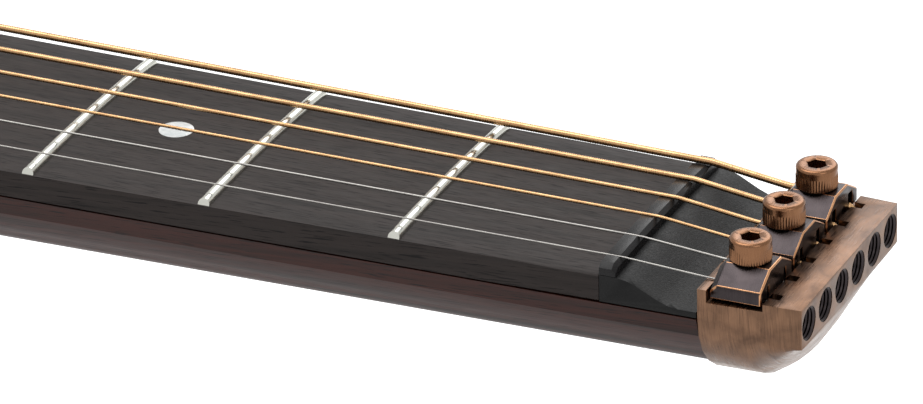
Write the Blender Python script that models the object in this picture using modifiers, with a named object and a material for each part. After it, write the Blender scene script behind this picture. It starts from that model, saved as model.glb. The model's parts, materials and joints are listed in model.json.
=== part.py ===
"""Headless steel-string dreadnought guitar, lying on its back, in metres.

Everything is built in neck coordinates: the origin is the middle of the nut's front face on the
crown of the fingerboard, +X runs along the strings to the head, +Y to the bass side and +Z out of
the soundboard. The empty guitar_frame carries those coordinates. It is tilted by the body's taper
and moved, so that in the world the flat back lies on z = 0 under the middle of the guitar.
"""
import math

import bmesh
import bpy
from mathutils import Matrix, Vector

# Clearances
GLUE_GAP = 0.0003
FINE_GAP = 0.0001
RUNNING_GAP = 0.0003

# Strings and scale
SCALE_LENGTH = 0.6452
STRING_GAUGES = (0.000305, 0.000406, 0.00061, 0.000813, 0.001067, 0.001346)
NUT_PITCH = 0.00732
BRIDGE_PITCH = 0.0108
ACTION_TREBLE = 0.0019
ACTION_BASS = 0.0025
COMPENSATION = 0.002
BALL_RADIUS = 0.0019
BALL_LENGTH = 0.0028

# Fingerboard and frets
FRET_COUNT = 20
BODY_FRET = 14
LOOSE_FRETS = 3
FINGERBOARD_THICKNESS = 0.0053
FINGERBOARD_RADIUS = 0.406
FINGERBOARD_OVERHANG = 0.005
NUT_WIDTH = 0.0438
TWELFTH_FRET_WIDTH = 0.054
FRET_HEIGHT = 0.0011
FRET_WIDTH = 0.0021
FRET_CROWN_WIDTH = 0.0009
FRET_END_BEVEL = 0.0011
TANG_WIDTH = 0.0006
TANG_DEPTH = 0.0016

# Nut and the scooped ramp behind it
NUT_LENGTH = 0.0029
NUT_HEIGHT = 0.00205
NUT_SLOT_DEPTH = 0.0003
NUT_ROUNDING = 0.0007
RAMP_FLAT = 0.0032
RAMP_RUN = 0.0104
RAMP_DROP = 0.0037

# Neck
NECK_DEPTH = 0.0208
NECK_DEPTH_GAIN = 0.0028
NECK_CENTRE_DEPTH = 0.003
HEEL_LENGTH = 0.050
HEEL_FOOT = 0.013
HEEL_DEPTH = 0.108
HEEL_CLEARANCE = 0.0035
TENON_WIDTH = 0.02
TENON_LENGTH = 0.017
TENON_TOP = 0.012
TENON_FOOT = 0.014

# Truss rod
ROD_RADIUS = 0.0028
ROD_DEPTH = 0.0129
ROD_HEAD_MARGIN = 0.012
ROD_NUT_RADIUS = 0.004
ROD_NUT_LENGTH = 0.0115
ROD_NUT_BORE = 0.0065
ROD_KEY = 0.004
ROD_KEY_DEPTH = 0.0035

# Headpiece
HEADPIECE_FRONT = 0.0172
HEADPIECE_END = 0.0349
HEADPIECE_FRONT_WIDTH = 0.0436
HEADPIECE_END_WIDTH = 0.0418
HEADPIECE_FRONT_SIDE = 0.0048
HEADPIECE_SIDE_DEPTH = 0.008
HEADPIECE_NOSE = 0.0255
BELLY_POWER = 2.1
NOSE_BELLY_POWER = 1.75
NOSE_CURVE_POWER = 1.7
NOSE_SIDE_SHARE = 0.42
NOSE_END_SHARE = 0.03
LIP_TOP = 0.0001
LIP_LENGTH = 0.0015
LIP_STRING_HEIGHT = 0.00035
CHANNEL_FLOOR = -0.0022
CHANNEL_REAR = 0.0283
REAR_BAR_TOP = -0.00095
HEAD_PITCH = 0.0071
END_HOLE_RADIUS = 0.0029
END_HOLE_DEPTH = 0.005
END_HOLE_HEIGHT = -0.0046
NOTCH_WIDTH = 0.0018
TONGUE_LENGTH = 0.009
TONGUE_WIDTH = 0.024
TONGUE_TOP = -0.0093
TONGUE_THICKNESS = 0.0052
FIXING_RADIUS = 0.0014
FIXING_HEAD_RADIUS = 0.0025
FIXING_HEAD_HEIGHT = 0.0015
FIXING_LENGTH = 0.011

# String clamps
CLAMP_COUNT = 3
CLAMP_PITCH = 0.0142
CLAMP_CENTRE = 0.0234
CLAMP_LENGTH = 0.0089
CLAMP_WIDTH = 0.0134
CLAMP_TOP_WIDTH = 0.005
CLAMP_BOTTOM = -0.0017
CLAMP_SHOULDER = 0.0007
CLAMP_TOP = 0.0032
CLAMP_CHAMFER = 0.0011
SCREW_RADIUS = 0.002
SCREW_HEAD_RADIUS = 0.0035
SCREW_HEAD_HEIGHT = 0.004
SCREW_HEAD_ROUNDING = 0.0006
SCREW_TIP = -0.0073
SCREW_KEY = 0.003
SCREW_KEY_DEPTH = 0.002

# Body
BODY_LENGTH = 0.508
UPPER_BOUT = 0.292
UPPER_BOUT_AT = 0.092
WAIST = 0.275
WAIST_AT = 0.190
LOWER_BOUT = 0.396
LOWER_BOUT_AT = 0.362
NECK_FLAT = 0.040
TAIL_FLAT = 0.044
SHOULDER_REACH = 0.078
UPPER_FRONT_REACH = 0.066
UPPER_REAR_REACH = 0.044
WAIST_FRONT_REACH = 0.040
WAIST_REAR_REACH = 0.056
LOWER_FRONT_REACH = 0.084
LOWER_REAR_REACH = 0.086
TAIL_REACH = 0.080
BODY_DEPTH_NECK = 0.099
BODY_DEPTH_TAIL = 0.124
OUTLINE_STEPS = 9
SIDE_THICKNESS = 0.002
SOUNDBOARD_THICKNESS = 0.0028
BACK_THICKNESS = 0.0025
BINDING_HEIGHT = 0.006
LINING_WIDTH = 0.0055
LINING_HEIGHT = 0.013
SOUND_HOLE_RADIUS = 0.05
SOUND_HOLE_OFFSET = 0.003
NECK_BLOCK_LENGTH = 0.05
TAIL_BLOCK_LENGTH = 0.02
BLOCK_INSET = 0.002

# Braces
BRACE_WIDTH = 0.008
BRACE_HEIGHT = 0.014
X_BRACE_OFFSET = 0.026
X_BRACE_ANGLE = math.radians(50.0)
X_BRACE_FRONT = 0.165
X_BRACE_REAR = 0.195
CROSS_BRACE_OFFSET = 0.016
CROSS_BRACE_MARGIN = 0.004
KEY_NOTCH_WIDTH = 0.010
KEY_NOTCH_DEPTH = 0.0185
BACK_BRACE_WIDTH = 0.010
BACK_BRACE_PLACES = (0.115, 0.330)
BRIDGE_PLATE_WIDTH = 0.050
BRIDGE_PLATE_SPAN = 0.100
BRIDGE_PLATE_THICKNESS = 0.0028

# Bridge, saddle and pickguard
BRIDGE_WIDTH = 0.038
BRIDGE_SPAN = 0.152
BRIDGE_THICKNESS = 0.0072
BRIDGE_WING_THICKNESS = 0.0035
BRIDGE_WING_SPAN = 0.030
BRIDGE_FRONT_OF_SADDLE = 0.012
SADDLE_WIDTH = 0.003
SADDLE_SPAN = 0.074
SADDLE_DEPTH = 0.004
GUIDE_HOLE_RADIUS = 0.0012
GUIDE_ENTRY = 0.006
GUIDE_EXIT_HEIGHT = 0.0022
PICKGUARD_THICKNESS = 0.0011
PICKGUARD_CLEARANCE = 0.011
PICKGUARD_REACH = 0.088
PICKGUARD_TAIL = 0.062

# Tail tuners
TUNER_HEIGHT = 0.0005
TUNER_PLATE = 0.002
TUNER_WALL = 0.003
TUNER_FLANGE = 0.004
TUNER_FLANGE_DROP = 0.026
TUNER_ROOM = 0.038
TUNER_TOP = 0.0048
CARRIAGE_LENGTH = 0.020
CARRIAGE_WIDTH = 0.0094
CARRIAGE_HEIGHT = 0.0072
CARRIAGE_TRAVEL = 0.0056
CARRIAGE_LIP = 0.003
POCKET_LENGTH = 0.0048
STUD_RADIUS = 0.002
KNOB_RADIUS = 0.0048
KNOB_LENGTH = 0.015
KNOB_ROUNDING = 0.0008
KNOB_FLOOR = 0.0015
TAIL_SCREW_RADIUS = 0.0021
TAIL_SCREW_HEAD = 0.0045
TAIL_SCREW_HEAD_HEIGHT = 0.0022
TAIL_SCREW_LENGTH = 0.018
TAIL_SCREW_SPREAD = 0.044
TAIL_SCREW_DROP = 0.013

# End pin for a strap
PIN_DROP = 0.062
PIN_SHANK_RADIUS = 0.0045
PIN_SHANK_LENGTH = 0.016
PIN_WAIST_RADIUS = 0.0042
PIN_HEAD_RADIUS = 0.0072
PIN_COLLAR_RADIUS = 0.0065
PIN_LENGTH = 0.015

# What follows from the sizes above
FINGERBOARD_BOTTOM = -FINGERBOARD_THICKNESS
NECK_TOP = FINGERBOARD_BOTTOM - GLUE_GAP
SOUNDBOARD_TOP = NECK_TOP
SOUNDBOARD_BOTTOM = SOUNDBOARD_TOP - SOUNDBOARD_THICKNESS
UNDER_SOUNDBOARD = SOUNDBOARD_BOTTOM - GLUE_GAP
ON_SOUNDBOARD = SOUNDBOARD_TOP + GLUE_GAP
JOINT_X = -SCALE_LENGTH * (1 - 2 ** (-BODY_FRET / 12))
TAIL_X = JOINT_X - BODY_LENGTH
FINGERBOARD_END = -SCALE_LENGTH * (1 - 2 ** (-FRET_COUNT / 12)) - FINGERBOARD_OVERHANG
SOUND_HOLE_X = FINGERBOARD_END - SOUND_HOLE_OFFSET - SOUND_HOLE_RADIUS
SADDLE_X = -SCALE_LENGTH - COMPENSATION
BRIDGE_FRONT = SADDLE_X + BRIDGE_FRONT_OF_SADDLE
BRIDGE_REAR = BRIDGE_FRONT - BRIDGE_WIDTH
BRIDGE_TOP = ON_SOUNDBOARD + BRIDGE_THICKNESS
BALL_X = HEADPIECE_END - END_HOLE_DEPTH + GLUE_GAP + BALL_LENGTH / 2
TAPER = math.atan((BODY_DEPTH_TAIL - BODY_DEPTH_NECK) / BODY_LENGTH)
WALL_INSET = SIDE_THICKNESS + GLUE_GAP
LINING_INNER = WALL_INSET + LINING_WIDTH
BLOCK_HALF_NECK = NECK_FLAT - BLOCK_INSET
BLOCK_HALF_TAIL = TAIL_FLAT - BLOCK_INSET
NECK_BLOCK_END = JOINT_X - WALL_INSET - NECK_BLOCK_LENGTH
TAIL_BLOCK_FRONT = TAIL_X + WALL_INSET + TAIL_BLOCK_LENGTH
FLANGE_FRONT = TAIL_X - GLUE_GAP
FLANGE_REAR = FLANGE_FRONT - TUNER_FLANGE
TUNER_FLOOR = ON_SOUNDBOARD + TUNER_PLATE
TUNER_FRONT_WALL = FLANGE_FRONT + TUNER_ROOM
CARRIAGE_X = FLANGE_FRONT + (TUNER_ROOM - CARRIAGE_LENGTH) / 2
CARRIAGE_FRONT = CARRIAGE_X + CARRIAGE_LENGTH
TAIL_BALL_X = CARRIAGE_FRONT - CARRIAGE_LIP - GLUE_GAP - BALL_LENGTH / 2
GUIDE_ENTRY_X = SADDLE_X - GUIDE_ENTRY
STUD_END = FLANGE_REAR - KNOB_LENGTH + KNOB_FLOOR + 2 * RUNNING_GAP + CARRIAGE_TRAVEL

# Finishes: colour, roughness, metallic
FINISHES = {
    "antique_copper": ((0.42, 0.24, 0.14), 0.38, 1.0),
    "polished_copper": ((0.55, 0.29, 0.15), 0.25, 1.0),
    "gunmetal": ((0.12, 0.11, 0.12), 0.35, 1.0),
    "ebony": ((0.045, 0.040, 0.038), 0.55, 0.0),
    "black_texture": ((0.018, 0.018, 0.018), 0.7, 0.0),
    "nickel": ((0.72, 0.71, 0.66), 0.25, 1.0),
    "mahogany": ((0.10, 0.035, 0.022), 0.3, 0.0),
    "rosewood": ((0.12, 0.05, 0.03), 0.35, 0.0),
    "spruce": ((0.72, 0.50, 0.26), 0.35, 0.0),
    "bare_wood": ((0.62, 0.45, 0.27), 0.6, 0.0),
    "black_plastic": ((0.02, 0.02, 0.02), 0.35, 0.0),
    "bone": ((0.85, 0.80, 0.68), 0.4, 0.0),
    "plain_steel": ((0.75, 0.75, 0.75), 0.2, 1.0),
    "bronze_wound": ((0.72, 0.48, 0.25), 0.3, 1.0),
    "tool_steel": ((0.35, 0.35, 0.36), 0.4, 1.0),
}


def fresh_scene():
    """Remove every object and make the two collections."""
    for item in list(bpy.data.objects):
        bpy.data.objects.remove(item, do_unlink=True)
    made = []
    for title in ("dreadnought_guitar", "cutters"):
        group = bpy.data.collections.new(title)
        bpy.context.scene.collection.children.link(group)
        made.append(group)
    return made


PARTS, CUTTERS = fresh_scene()
FRAME = bpy.data.objects.new("guitar_frame", None)
PARTS.objects.link(FRAME)
MATERIALS = {}


def finish(title):
    """Give the material of a named finish, made once."""
    if title not in MATERIALS:
        colour, roughness, metallic = FINISHES[title]
        made = bpy.data.materials.new(title)
        made.use_nodes = True
        shader = made.node_tree.nodes["Principled BSDF"]
        shader.inputs["Base Color"].default_value = (*colour, 1.0)
        shader.inputs["Roughness"].default_value = roughness
        shader.inputs["Metallic"].default_value = metallic
        MATERIALS[title] = made
    return MATERIALS[title]


def piece(name, mesh, look, at=(0, 0, 0), parent=None):
    """Put a mesh or curve in the parts collection, at a place in its parent's coordinates."""
    item = bpy.data.objects.new(name, mesh)
    PARTS.objects.link(item)
    item.parent = parent or FRAME
    item.location = at
    mesh.materials.append(finish(look))
    return item


def to_mesh(name, bm, smooth=False):
    """Turn a bmesh into a mesh with its faces pointing out."""
    bmesh.ops.recalc_face_normals(bm, faces=bm.faces)
    mesh = bpy.data.meshes.new(name)
    bm.to_mesh(mesh)
    bm.free()
    if smooth:
        mesh.shade_smooth()
        mesh.set_sharp_from_angle(angle=math.radians(35))
    return mesh


def box_mesh(name, xs, ys, zs):
    """A box between the low and high value on each axis."""
    size = [high - low for low, high in (xs, ys, zs)]
    middle = [(high + low) / 2 for low, high in (xs, ys, zs)]
    bm = bmesh.new()
    place = Matrix.Translation(middle) @ Matrix.Diagonal((*size, 1))
    bmesh.ops.create_cube(bm, size=1, matrix=place)
    return to_mesh(name, bm)


def rod_mesh(name, start, end, radius, segments=20):
    """A round or polygonal rod between two points."""
    run = Vector(end) - Vector(start)
    bm = bmesh.new()
    turn = Vector((0, 0, 1)).rotation_difference(run).to_matrix().to_4x4()
    place = Matrix.Translation((Vector(start) + Vector(end)) / 2) @ turn
    bmesh.ops.create_cone(bm, cap_ends=True, segments=segments, radius1=radius, radius2=radius,
                          depth=run.length, matrix=place)
    return to_mesh(name, bm, smooth=segments > 6)


def loft_mesh(name, sections, smooth=False, plane=None):
    """Skin closed sections of equal point counts, cap both ends, and cut below a plane."""
    bm = bmesh.new()
    rings = [[bm.verts.new(point) for point in section] for section in sections]
    for ring, following in zip(rings, rings[1:]):
        for index, vert in enumerate(ring):
            after = (index + 1) % len(ring)
            bm.faces.new((vert, ring[after], following[after], following[index]))
    bm.faces.new(rings[0])
    bm.faces.new(rings[-1])
    if plane:
        everything = bm.verts[:] + bm.edges[:] + bm.faces[:]
        bmesh.ops.bisect_plane(bm, geom=everything, plane_co=plane[0], plane_no=plane[1],
                               clear_outer=True)
        bmesh.ops.holes_fill(bm, edges=[edge for edge in bm.edges if edge.is_boundary])
    return to_mesh(name, bm, smooth)


def prism_mesh(name, outline, low, high):
    """A flat outline raised from one height to another; a height may be a function of x."""
    bm = bmesh.new()
    floor = bm.faces.new([bm.verts.new((x, y, height(low, x))) for x, y in outline])
    raised = bmesh.ops.extrude_face_region(bm, geom=[floor])["geom"]
    for vert in raised:
        if isinstance(vert, bmesh.types.BMVert):
            vert.co.z = height(high, vert.co.x)
    return to_mesh(name, bm)


def ring_mesh(name, outer, inner, low, high):
    """The wall between two closed outlines of equal point counts."""
    bm = bmesh.new()
    loops = []
    for outline in (outer, inner):
        verts = [bm.verts.new((x, y, height(low, x))) for x, y in outline]
        loops += [bm.edges.new(pair) for pair in zip(verts, verts[1:] + verts[:1])]
    floor = bmesh.ops.bridge_loops(bm, edges=loops)["faces"]
    raised = bmesh.ops.extrude_face_region(bm, geom=floor)["geom"]
    for vert in raised:
        if isinstance(vert, bmesh.types.BMVert):
            vert.co.z = height(high, vert.co.x)
    return to_mesh(name, bm)


def height(value, x):
    """Read a height that is a number or a function of x."""
    return value(x) if callable(value) else value


def turned(name, profile, look, at, axis=(0, 0, 1), parent=None, steps=20):
    """Turn a profile of (radius, height) points, top to bottom, about a local axis."""
    bm = bmesh.new()
    verts = [bm.verts.new((radius, 0, level)) for radius, level in profile]
    for pair in zip(verts, verts[1:]):
        bm.edges.new(pair)
    mesh = bpy.data.meshes.new(name)
    bm.to_mesh(mesh)
    bm.free()
    item = piece(name, mesh, look, at, parent)
    item.rotation_mode = "QUATERNION"
    item.rotation_quaternion = Vector((0, 0, 1)).rotation_difference(Vector(axis))
    screw = item.modifiers.new("turn", "SCREW")
    screw.steps = steps
    screw.render_steps = steps
    screw.use_merge_vertices = True
    screw.merge_threshold = 0.00001
    screw.use_smooth_shade = True
    return item


def cut(target, mesh, operation="DIFFERENCE", parent=None, at=(0, 0, 0)):
    """Cut one piece with a hidden cutter, or join the cutter's shape to it."""
    cutter = bpy.data.objects.new(mesh.name, mesh)
    CUTTERS.objects.link(cutter)
    cutter.parent = parent or FRAME
    cutter.location = at
    cutter.hide_render = True
    cutter.display_type = "WIRE"
    change = target.modifiers.new(mesh.name, "BOOLEAN")
    change.operation = operation
    change.object = cutter
    return cutter


def soften(target, width, segments=1, angle=40):
    """Break the sharp edges of a piece."""
    bevel = target.modifiers.new("edges", "BEVEL")
    bevel.width = width
    bevel.segments = segments
    bevel.limit_method = "ANGLE"
    bevel.angle_limit = math.radians(angle)


def fret_x(number):
    """Place of a fret along the strings; fret 0 is the nut's front face."""
    return -SCALE_LENGTH * (1 - 2 ** (-number / 12))


def half_width(x):
    """Half the fingerboard's width at a place along it."""
    gain = (TWELFTH_FRET_WIDTH - NUT_WIDTH) / 2
    return NUT_WIDTH / 2 + gain * x / fret_x(12)


def drop(y):
    """How far the fingerboard's crown has fallen at a distance from the centre line."""
    return FINGERBOARD_RADIUS - math.sqrt(FINGERBOARD_RADIUS ** 2 - y ** 2)


def crown_ys(half):
    """Places across the crown where its height is taken."""
    inner = half - FRET_END_BEVEL
    return (-half, -inner, -half / 2, 0, half / 2, inner, half)


def string_y(index, pitch):
    """Place of one string across the guitar, the treble string first."""
    return (index - (len(STRING_GAUGES) - 1) / 2) * pitch


def back_plane(lift=0.0):
    """Height, in neck coordinates, of the plane a little above the back's outer face."""
    joint_height = SOUNDBOARD_TOP - BODY_DEPTH_NECK + lift / math.cos(TAPER)
    return lambda x: joint_height + (x - JOINT_X) * math.tan(TAPER)


def bezier(ends, place):
    """Point and tangent of a cubic curve at a place from 0 to 1."""
    first, leave, arrive, last = ends
    rest = 1 - place
    point = (rest ** 3 * first + 3 * rest ** 2 * place * leave
             + 3 * rest * place ** 2 * arrive + place ** 3 * last)
    tangent = (3 * rest ** 2 * (leave - first) + 6 * rest * place * (arrive - leave)
               + 3 * place ** 2 * (last - arrive))
    return point, tangent


def body_curves():
    """The half outline as cubic curves in (distance from the neck, half width)."""
    shoulder = Vector((0, NECK_FLAT))
    upper = Vector((UPPER_BOUT_AT, UPPER_BOUT / 2))
    waist = Vector((WAIST_AT, WAIST / 2))
    lower = Vector((LOWER_BOUT_AT, LOWER_BOUT / 2))
    tail = Vector((BODY_LENGTH, TAIL_FLAT))
    return (
        (shoulder, shoulder + Vector((0, SHOULDER_REACH)), upper - Vector((UPPER_FRONT_REACH, 0)), upper),
        (upper, upper + Vector((UPPER_REAR_REACH, 0)), waist - Vector((WAIST_FRONT_REACH, 0)), waist),
        (waist, waist + Vector((WAIST_REAR_REACH, 0)), lower - Vector((LOWER_FRONT_REACH, 0)), lower),
        (lower, lower + Vector((LOWER_REAR_REACH, 0)), tail + Vector((0, TAIL_REACH)), tail),
    )


def half_outline(inset=0.0, neck_y=None, tail_y=None, side=1):
    """One side of the body's outline, set inwards, from the neck to the tail."""
    points = []
    for number, ends in enumerate(body_curves()):
        for step in range(0 if number == 0 else 1, OUTLINE_STEPS + 1):
            point, tangent = bezier(ends, step / OUTLINE_STEPS)
            tangent.normalize()
            points.append(point + inset * Vector((tangent.y, -tangent.x)))
    if neck_y is not None:
        points.insert(0, Vector((inset, neck_y)))
    if tail_y is not None:
        points.append(Vector((BODY_LENGTH - inset, tail_y)))
    return [(JOINT_X - point.x, side * point.y) for point in points]


def closed_outline(inset=0.0):
    """The whole outline of the body, set inwards."""
    return half_outline(inset) + half_outline(inset, side=-1)[::-1]


def width_inside(distance, inset):
    """Half width of the set-in outline at a distance from the neck."""
    points = half_outline(inset)
    x = JOINT_X - distance
    for (x0, y0), (x1, y1) in zip(points, points[1:]):
        if x1 <= x <= x0:
            return y0 + (y1 - y0) * (x0 - x) / (x0 - x1)
    return TAIL_FLAT


def arc_section(x, half, centre, depth, top, count=15):
    """A round-backed section: flat on top, with an elliptical underside."""
    start = math.asin((-top - centre) / (depth - centre))
    radius = half / math.cos(start)
    points = []
    for step in range(count):
        angle = start + (math.pi - 2 * start) * step / (count - 1)
        points.append((x, radius * math.cos(angle), -centre - (depth - centre) * math.sin(angle)))
    return points


def make_fingerboard():
    """The fingerboard, with the frets past the first ones standing on it."""
    stations = [(0.0, 0.0)]
    for number in range(LOOSE_FRETS + 1, FRET_COUNT + 1):
        x = fret_x(number)
        for offset, rise in ((FRET_WIDTH, 0.0), (FRET_CROWN_WIDTH, FRET_HEIGHT),
                             (-FRET_CROWN_WIDTH, FRET_HEIGHT), (-FRET_WIDTH, 0.0)):
            stations.append((x + offset / 2, rise))
    stations.append((FINGERBOARD_END, 0.0))
    sections = []
    for x, rise in stations:
        half = half_width(x)
        ys = crown_ys(half)
        crown = [(x, y, -drop(y) + (rise if abs(y) < half else 0.0)) for y in ys]
        sections.append([(x, -half, FINGERBOARD_BOTTOM), *crown, (x, half, FINGERBOARD_BOTTOM)])
    board = piece("fingerboard", loft_mesh("fingerboard", sections), "ebony")
    for number in range(1, LOOSE_FRETS + 1):
        x = fret_x(number)
        half_slot = TANG_WIDTH / 2 + FINE_GAP
        bottom = -drop(half_width(x)) - TANG_DEPTH - 2 * FINE_GAP
        slot = box_mesh(f"fret_slot_{number:02d}", (x - half_slot, x + half_slot),
                        (-half_width(x) * 1.1, half_width(x) * 1.1), (bottom, FRET_HEIGHT))
        cut(board, slot)


def make_frets():
    """The first frets, each a crown on a tang."""
    foot, shoulder, crest, tang = FRET_WIDTH / 2, FRET_WIDTH * 0.38, FRET_WIDTH * 0.15, TANG_WIDTH / 2
    for number in range(1, LOOSE_FRETS + 1):
        x = fret_x(number)
        half = half_width(x)
        sections = []
        for y in crown_ys(half):
            base = -drop(y) + FINE_GAP
            rise = FRET_HEIGHT if abs(y) < half else FRET_HEIGHT * 0.3
            root = -drop(half) - TANG_DEPTH
            profile = ((foot, base), (shoulder, base + rise * 0.7), (crest, base + rise),
                       (-crest, base + rise), (-shoulder, base + rise * 0.7), (-foot, base),
                       (-tang, base), (-tang, root), (tang, root), (tang, base))
            sections.append([(x + along, y, z) for along, z in profile])
        piece(f"fret_{number:02d}", loft_mesh("fret", sections), "nickel")


def ramp_height(x, y):
    """Top of the ramp, which falls behind the nut in a smooth curve."""
    place = min(max((x - RAMP_FLAT) / RAMP_RUN, 0.0), 1.0)
    return -drop(y) - RAMP_DROP * place * place * (3 - 2 * place)


def make_ramp():
    """The textured ramp that lets the strings fall from the nut to the headpiece."""
    start, end = FINE_GAP, HEADPIECE_FRONT - GLUE_GAP
    places = [start, RAMP_FLAT] + [RAMP_FLAT + RAMP_RUN * step / 6 for step in range(1, 7)] + [end]
    sections = []
    for x in places:
        half = half_width(x)
        top = [(x, y, ramp_height(x, y)) for y in crown_ys(half)]
        sections.append([(x, -half, FINGERBOARD_BOTTOM), *top, (x, half, FINGERBOARD_BOTTOM)])
    piece("string_ramp", loft_mesh("string_ramp", sections), "black_texture")


def slot_floor(index):
    """Height of the bottom of a string's slot in the nut."""
    return NUT_HEIGHT - NUT_SLOT_DEPTH - drop(string_y(index, NUT_PITCH))


def make_nut():
    """The nut, with a rounded top and a slot for each string."""
    front, rear = FINE_GAP, FINE_GAP + NUT_LENGTH
    half = half_width(0.0)
    sections = []
    for y in crown_ys(half):
        low = -drop(y) + FINE_GAP
        top = NUT_HEIGHT - drop(y) - (NUT_ROUNDING if abs(y) == half else 0.0)
        sections.append([(front, y, low), (rear, y, low), (rear, y, top - NUT_ROUNDING),
                         (rear - NUT_ROUNDING, y, top), (front, y, top)])
    nut = piece("nut", loft_mesh("nut", sections), "black_plastic")
    for index, gauge in enumerate(STRING_GAUGES):
        y = string_y(index, NUT_PITCH)
        half_slot = gauge / 2 + FINE_GAP
        slot = box_mesh(f"nut_slot_{index + 1}", (-NUT_LENGTH, 2 * NUT_LENGTH),
                        (y - half_slot, y + half_slot),
                        (slot_floor(index) - FINE_GAP, NUT_HEIGHT + NUT_LENGTH))
        cut(nut, slot)


def make_neck():
    """The neck with its heel, tenon, tongue and truss-rod channel."""
    start, join = HEADPIECE_FRONT - GLUE_GAP, JOINT_X + GLUE_GAP
    heel_start = join + HEEL_LENGTH
    gain_at = fret_x(10)
    sections = []
    for x in (start, 0.0, fret_x(3), fret_x(7), heel_start):
        depth = NECK_DEPTH + NECK_DEPTH_GAIN * x / gain_at
        sections.append(arc_section(x, half_width(x), NECK_CENTRE_DEPTH, depth, NECK_TOP))
    grown = NECK_DEPTH + NECK_DEPTH_GAIN * heel_start / gain_at
    for place in (0.3, 0.5, 0.68, 0.82, 0.92, 0.98, 1.0):
        x = heel_start - (HEEL_LENGTH - HEEL_FOOT) * place
        depth = grown + (HEEL_DEPTH - grown) * (1 - math.sqrt(1 - place ** 2))
        sections.append(arc_section(x, half_width(x), NECK_CENTRE_DEPTH, depth, NECK_TOP))
    sections.append(arc_section(join, half_width(join), NECK_CENTRE_DEPTH, HEEL_DEPTH, NECK_TOP))
    sole = back_plane(HEEL_CLEARANCE)
    plane = ((JOINT_X, 0, sole(JOINT_X)), (math.sin(TAPER), 0, -math.cos(TAPER)))
    neck = piece("neck", loft_mesh("neck", sections, smooth=True, plane=plane), "mahogany")
    half_tenon = TENON_WIDTH / 2
    tenon = box_mesh("tenon", (join - TENON_LENGTH, join + HEEL_FOOT / 2), (-half_tenon, half_tenon),
                     (sole(JOINT_X) + TENON_FOOT, -TENON_TOP))
    cut(neck, tenon, "UNION")
    half_tongue = TONGUE_WIDTH / 2
    tongue = box_mesh("tongue", (start - TONGUE_LENGTH / 2, start + TONGUE_LENGTH),
                      (-half_tongue, half_tongue), (TONGUE_TOP - TONGUE_THICKNESS, TONGUE_TOP))
    cut(neck, tongue, "UNION")
    cut(neck, rod_channel("neck_channel", join - 2 * TENON_LENGTH, -ROD_HEAD_MARGIN + GLUE_GAP))
    for side in (-1, 1):
        cut(neck, fixing_hole(side, FIXING_RADIUS + FINE_GAP, "tongue_hole"))


def rod_channel(name, low, high):
    """The channel that holds the truss rod, open at the top."""
    half = ROD_RADIUS + GLUE_GAP
    return box_mesh(name, (low, high), (-half, half), (-ROD_DEPTH - half, 0.0))


def make_truss_rod():
    """The truss rod and the nut that a key turns through the sound hole."""
    head = -ROD_HEAD_MARGIN
    nut_front = NECK_BLOCK_END - GLUE_GAP
    rod_end = nut_front - ROD_NUT_BORE + RUNNING_GAP
    rod = rod_mesh("truss_rod", (rod_end, 0, -ROD_DEPTH), (head, 0, -ROD_DEPTH), ROD_RADIUS, 12)
    piece("truss_rod", rod, "tool_steel")
    bore = ROD_RADIUS + RUNNING_GAP
    profile = ((0, -ROD_NUT_BORE), (bore, -ROD_NUT_BORE), (bore, 0), (ROD_NUT_RADIUS, 0),
               (ROD_NUT_RADIUS, -ROD_NUT_LENGTH), (0, -ROD_NUT_LENGTH))
    at = (nut_front, 0, -ROD_DEPTH)
    nut = turned("truss_rod_nut", profile, "tool_steel", at, axis=(1, 0, 0), steps=16)
    key = rod_mesh("rod_key", (-ROD_NUT_LENGTH - ROD_KEY, 0, 0),
                   (-ROD_NUT_LENGTH + ROD_KEY_DEPTH, 0, 0), ROD_KEY / math.sqrt(3), 6)
    cut(nut, key, at=at)


def fixing_hole(side, radius, name):
    """The hole of a screw that holds the headpiece to the neck's tongue."""
    y = side * CLAMP_PITCH / 2
    label = "bass" if side > 0 else "treble"
    return rod_mesh(f"{name}_{label}", (CLAMP_CENTRE, y, CHANNEL_FLOOR - FIXING_LENGTH - GLUE_GAP * 2),
                    (CLAMP_CENTRE, y, CHANNEL_FLOOR + GLUE_GAP), radius, 12)


def headpiece_section(x, half, side_depth, depth, power, count=15):
    """A section with upright sides and a rounded underside."""
    points = [(x, half, LIP_TOP)]
    for step in range(count):
        angle = math.pi * step / (count - 1)
        across = math.copysign(abs(math.cos(angle)) ** (2 / power), math.cos(angle))
        down = math.sin(angle) ** (2 / power)
        points.append((x, half * across, -side_depth - (depth - side_depth) * down))
    points.append((x, -half, LIP_TOP))
    return points


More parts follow.
